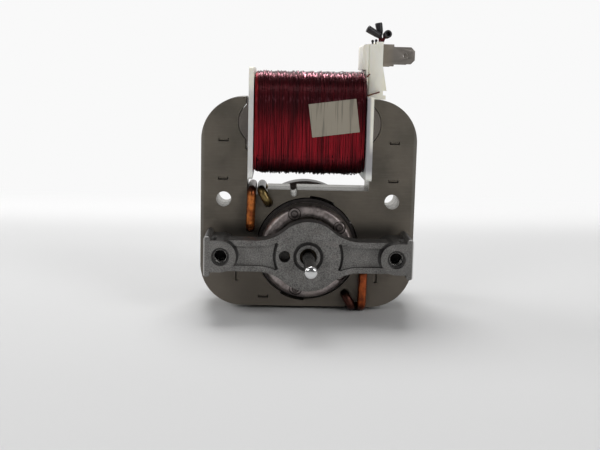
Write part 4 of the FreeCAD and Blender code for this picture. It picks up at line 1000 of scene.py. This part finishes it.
def turn_shaft():
    """The ground shaft with the groove at its root; both ends are domed by tumbling."""
    long = SHAFT_HIGH.y - SHAFT_LOW.y
    radius = SHAFT_HIGH.x
    groove = SHAFT_HIGH.y - HUB_FACE_Y
    groove_end, neck = groove + SHAFT_GROOVE_WIDE, radius - SHAFT_GROOVE_DEEP
    rear = [(long - along, r) for along, r in reversed(domed(long, radius, SHAFT_REAR_DOME))]
    profile = rear + [(groove, radius), (groove, neck), (groove_end, neck), (groove_end, radius)]
    profile = profile + domed(long, radius, SHAFT_TIP_DOME)
    start = Vector((0.0, SHAFT_HIGH.y, AXIS_Z))
    turned_piece("ground_shaft", [(start, Vector((0, -1, 0)), profile)], SHAFT_STEEL, "rotor",
                 ["shaft"])


turn_shaft()

# The three splices on top of the terminal block: sleeve foot, sleeve tip, foot and tip radius, all in mm.
SPLICES = {
    "left": ((19.7, -2.9, 77.25), (15.75, -3.4, 79.45), 0.72, 1.02),
    "middle": ((19.65, -1.9, 77.7), (19.0, -1.5, 81.1), 0.62, 1.04),
    "right": ((21.0, -2.0, 77.55), (21.5, -4.9, 78.05), 0.8, 1.12),
}
SPLICE_ROOT = Vector((19.75, -2.6, 75.5)) * MM
BLOCK_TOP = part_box("bobbin")[1].z


def sleeve_profile(long, foot, tip):
    """A shrunk sleeve: pinched at the foot, open at the tip."""
    bore = tip * 0.62
    return [(0.0, foot * 0.8), (0.12 * MM, foot), (long * 0.35, foot + (tip - foot) * 0.7), (long * 0.8, tip),
            (long - 0.1 * MM, tip), (long, tip - 0.1 * MM), (long, bore), (long - 1.1 * MM, bore)]


def make_splices():
    """Twisted wire ends that leave the block together, each under its own sleeve."""
    for number, (which, (foot, tip, foot_round, tip_round)) in enumerate(SPLICES.items()):
        foot, tip = Vector(foot) * MM, Vector(tip) * MM
        way = (tip - foot).normalized()
        profile = sleeve_profile((tip - foot).length, foot_round * MM, tip_round * MM)
        turned_piece(f"sleeve_{which}", [(foot, way, profile)], SLEEVE, "frame",
                     [f"splice_sleeve_{which}"])
        strands = []
        for strand in range(3):
            turn = 2 * math.pi * (strand / 3 + number / 9)
            start = SPLICE_ROOT + Vector((math.cos(turn), math.sin(turn), 0.0)) * (0.55 * MM)
            start.z = BLOCK_TOP - 0.3 * MM
            end = foot + way * (0.5 * MM) + Vector((math.sin(turn), math.cos(turn), 0.0)) * (0.2 * MM)
            long = (end - start).length
            strands.append((start, (end - start).normalized(), [(0.0, 0.3 * MM), (long, 0.26 * MM)]))
        turned_piece(f"twisted_ends_{which}", strands, SPLICE, "frame",
                     [f"splice_wire_{which}"])


# The two wire tips' upper ends, in mm.
WIRE_TIPS = [(17.3, -3.6, 75.95), (18.3, -3.4, 76.15)]


def make_wire_tips():
    """Two clipped wire ends that just stand out of the block beside the splices."""
    radius, stalk, hidden = 0.42 * MM, 0.25 * MM, 0.9 * MM
    tips = []
    for place in WIRE_TIPS:
        foot = Vector(place) * MM
        rise = foot.z - radius - BLOCK_TOP + hidden
        foot.z = BLOCK_TOP - hidden
        ball = [(rise + radius - radius * math.cos(math.pi * step / 10.4),
                 max(radius * math.sin(math.pi * (step + 0.2) / 10.4), stalk if step < 5 else 0.0))
                for step in range(11)]
        tips.append((foot, Vector((0, 0, 1)), [(0.0, stalk)] + ball))
    turned_piece("wire_tips", tips, SLEEVE, "frame")


make_splices()
make_wire_tips()

CAMERA_PLACE = Vector((-9.48, -274.56, 65.25)) * MM
CAMERA_YAW = math.radians(1.580)
CAMERA_PITCH = math.radians(8.845)
CAMERA_ROLL = math.radians(1.336)
CAMERA_LENS = 56.70


def set_camera():
    """Stands the camera where the photograph was taken from."""
    data = bpy.data.cameras.new("camera")
    data.lens = CAMERA_LENS
    data.sensor_width = 36.0
    data.clip_start = 0.01
    data.clip_end = 20.0
    camera = bpy.data.objects.new("camera", data)
    bpy.context.scene.collection.objects.link(camera)
    turn = (Matrix.Rotation(-CAMERA_YAW, 4, "Z") @ Matrix.Rotation(math.pi / 2 - CAMERA_PITCH, 4, "X")
            @ Matrix.Rotation(CAMERA_ROLL, 4, "Z"))
    camera.matrix_world = Matrix.Translation(CAMERA_PLACE) @ turn
    bpy.context.scene.camera = camera


def floor_finish():
    """Pale paper: a soft grey in front, going to white behind the motor."""
    finish = Finish("pale_paper")
    away = finish.axis("Y")
    near = finish.mix(away.step(-120 * MM, 60 * MM), tint(212, 212, 212), tint(216, 216, 216))
    colour = finish.mix(away.step(110 * MM, 230 * MM), near, tint(240, 240, 240))
    shader = finish.node("ShaderNodeBsdfPrincipled", None, {
        "Base Color": colour, "Roughness": 0.9, "Specular IOR Level": 0.1})
    seen = finish.node("ShaderNodeLightPath", output="Is Camera Ray")
    mirrored = finish.node("ShaderNodeLightPath", output="Is Glossy Ray")
    white = finish.node("ShaderNodeEmission", None, {"Color": tint(249, 249, 249), "Strength": 1.0})
    across = finish.axis("X")
    far = away.step(130 * MM, 260 * MM).most((away * away + across * across).root().step(0.4, 0.9))
    both = finish.node("ShaderNodeMixShader", None, [far * seen.most(mirrored), shader, white])
    finish.node_output(both)
    return finish.material


def set_stage():
    """A floor that curves up into a backdrop."""
    radius, back, side, top = 0.25, 0.9, 2.2, 1.8
    profile = [(-1.6, FLOOR_Z), (back - radius, FLOOR_Z)]
    for step in range(1, 13):
        turn = math.pi / 2 * step / 12
        profile.append((back - radius + radius * math.sin(turn), FLOOR_Z + radius * (1 - math.cos(turn))))
    profile.append((back, top))
    shape = bmesh.new()
    rows = [[shape.verts.new((x, y, z)) for x in (-side, side)] for y, z in profile]
    for first, second in zip(rows, rows[1:]):
        shape.faces.new((first[0], first[1], second[1], second[0]))
    mesh = bpy.data.meshes.new("studio_sweep")
    shape.to_mesh(mesh)
    shape.free()
    for polygon in mesh.polygons:
        polygon.use_smooth = True
    sweep = bpy.data.objects.new("studio_sweep", mesh)
    bpy.context.scene.collection.objects.link(sweep)
    set_finish(sweep, floor_finish())


def add_lamp(name, place, aim, size, watts):
    data = bpy.data.lights.new(name, "AREA")
    data.shape = "DISK"
    data.size = size
    data.energy = watts
    lamp = bpy.data.objects.new(name, data)
    bpy.context.scene.collection.objects.link(lamp)
    lamp.location = place
    lamp.rotation_euler = (Vector(aim) - Vector(place)).to_track_quat("-Z", "Y").to_euler()


def set_lights():
    """A big soft lamp overhead, a window behind on the left and a lamp on each side in front."""
    aim = (0.0, 0.0, 0.03)
    add_lamp("overhead_softbox", (-0.05, 0.28, 0.7), aim, 0.45, 4.0)
    add_lamp("left_window", (-0.75, 0.3, 0.4), aim, 0.5, 2.2)
    add_lamp("front_left_lamp", (-0.5, -0.65, 0.45), aim, 0.35, 1.4)
    add_lamp("front_right_lamp", (0.6, -0.55, 0.42), aim, 0.4, 2.2)


def set_world():
    """A dim room, brighter at the back, which the camera sees as white."""
    world = bpy.data.worlds.new("studio_air")
    bpy.context.scene.world = world
    world.use_nodes = True
    nodes, links = world.node_tree.nodes, world.node_tree.links
    nodes.clear()

    def background(colour, strength):
        node = nodes.new("ShaderNodeBackground")
        node.inputs["Color"].default_value = colour
        node.inputs["Strength"].default_value = strength
        return node.outputs[0]

    def mixed(factor, first, second):
        node = nodes.new("ShaderNodeMixShader")
        for socket, link in zip(node.inputs, (factor, first, second)):
            links.new(link, socket)
        return node.outputs[0]

    direction = nodes.new("ShaderNodeTexCoord")
    parts = nodes.new("ShaderNodeSeparateXYZ")
    links.new(direction.outputs["Generated"], parts.inputs[0])
    behind = nodes.new("ShaderNodeMapRange")
    behind.interpolation_type = "SMOOTHSTEP"
    links.new(parts.outputs["Y"], behind.inputs["Value"])
    behind.inputs["From Min"].default_value = -0.7
    behind.inputs["From Max"].default_value = 0.3
    room = mixed(behind.outputs[0], background((1, 1, 1, 1), 0.09), background((1, 1, 1, 1), 0.32))
    light_path = nodes.new("ShaderNodeLightPath")
    seen = nodes.new("ShaderNodeMath")
    seen.operation = "MAXIMUM"
    links.new(light_path.outputs["Is Camera Ray"], seen.inputs[0])
    links.new(light_path.outputs["Is Transmission Ray"], seen.inputs[1])
    whole = mixed(seen.outputs[0], room, background(tint(249, 249, 249), 1.0))
    output = nodes.new("ShaderNodeOutputWorld")
    links.new(whole, output.inputs["Surface"])


set_camera()
set_stage()
set_lights()
set_world()
bpy.context.scene.view_settings.view_transform = "Standard"
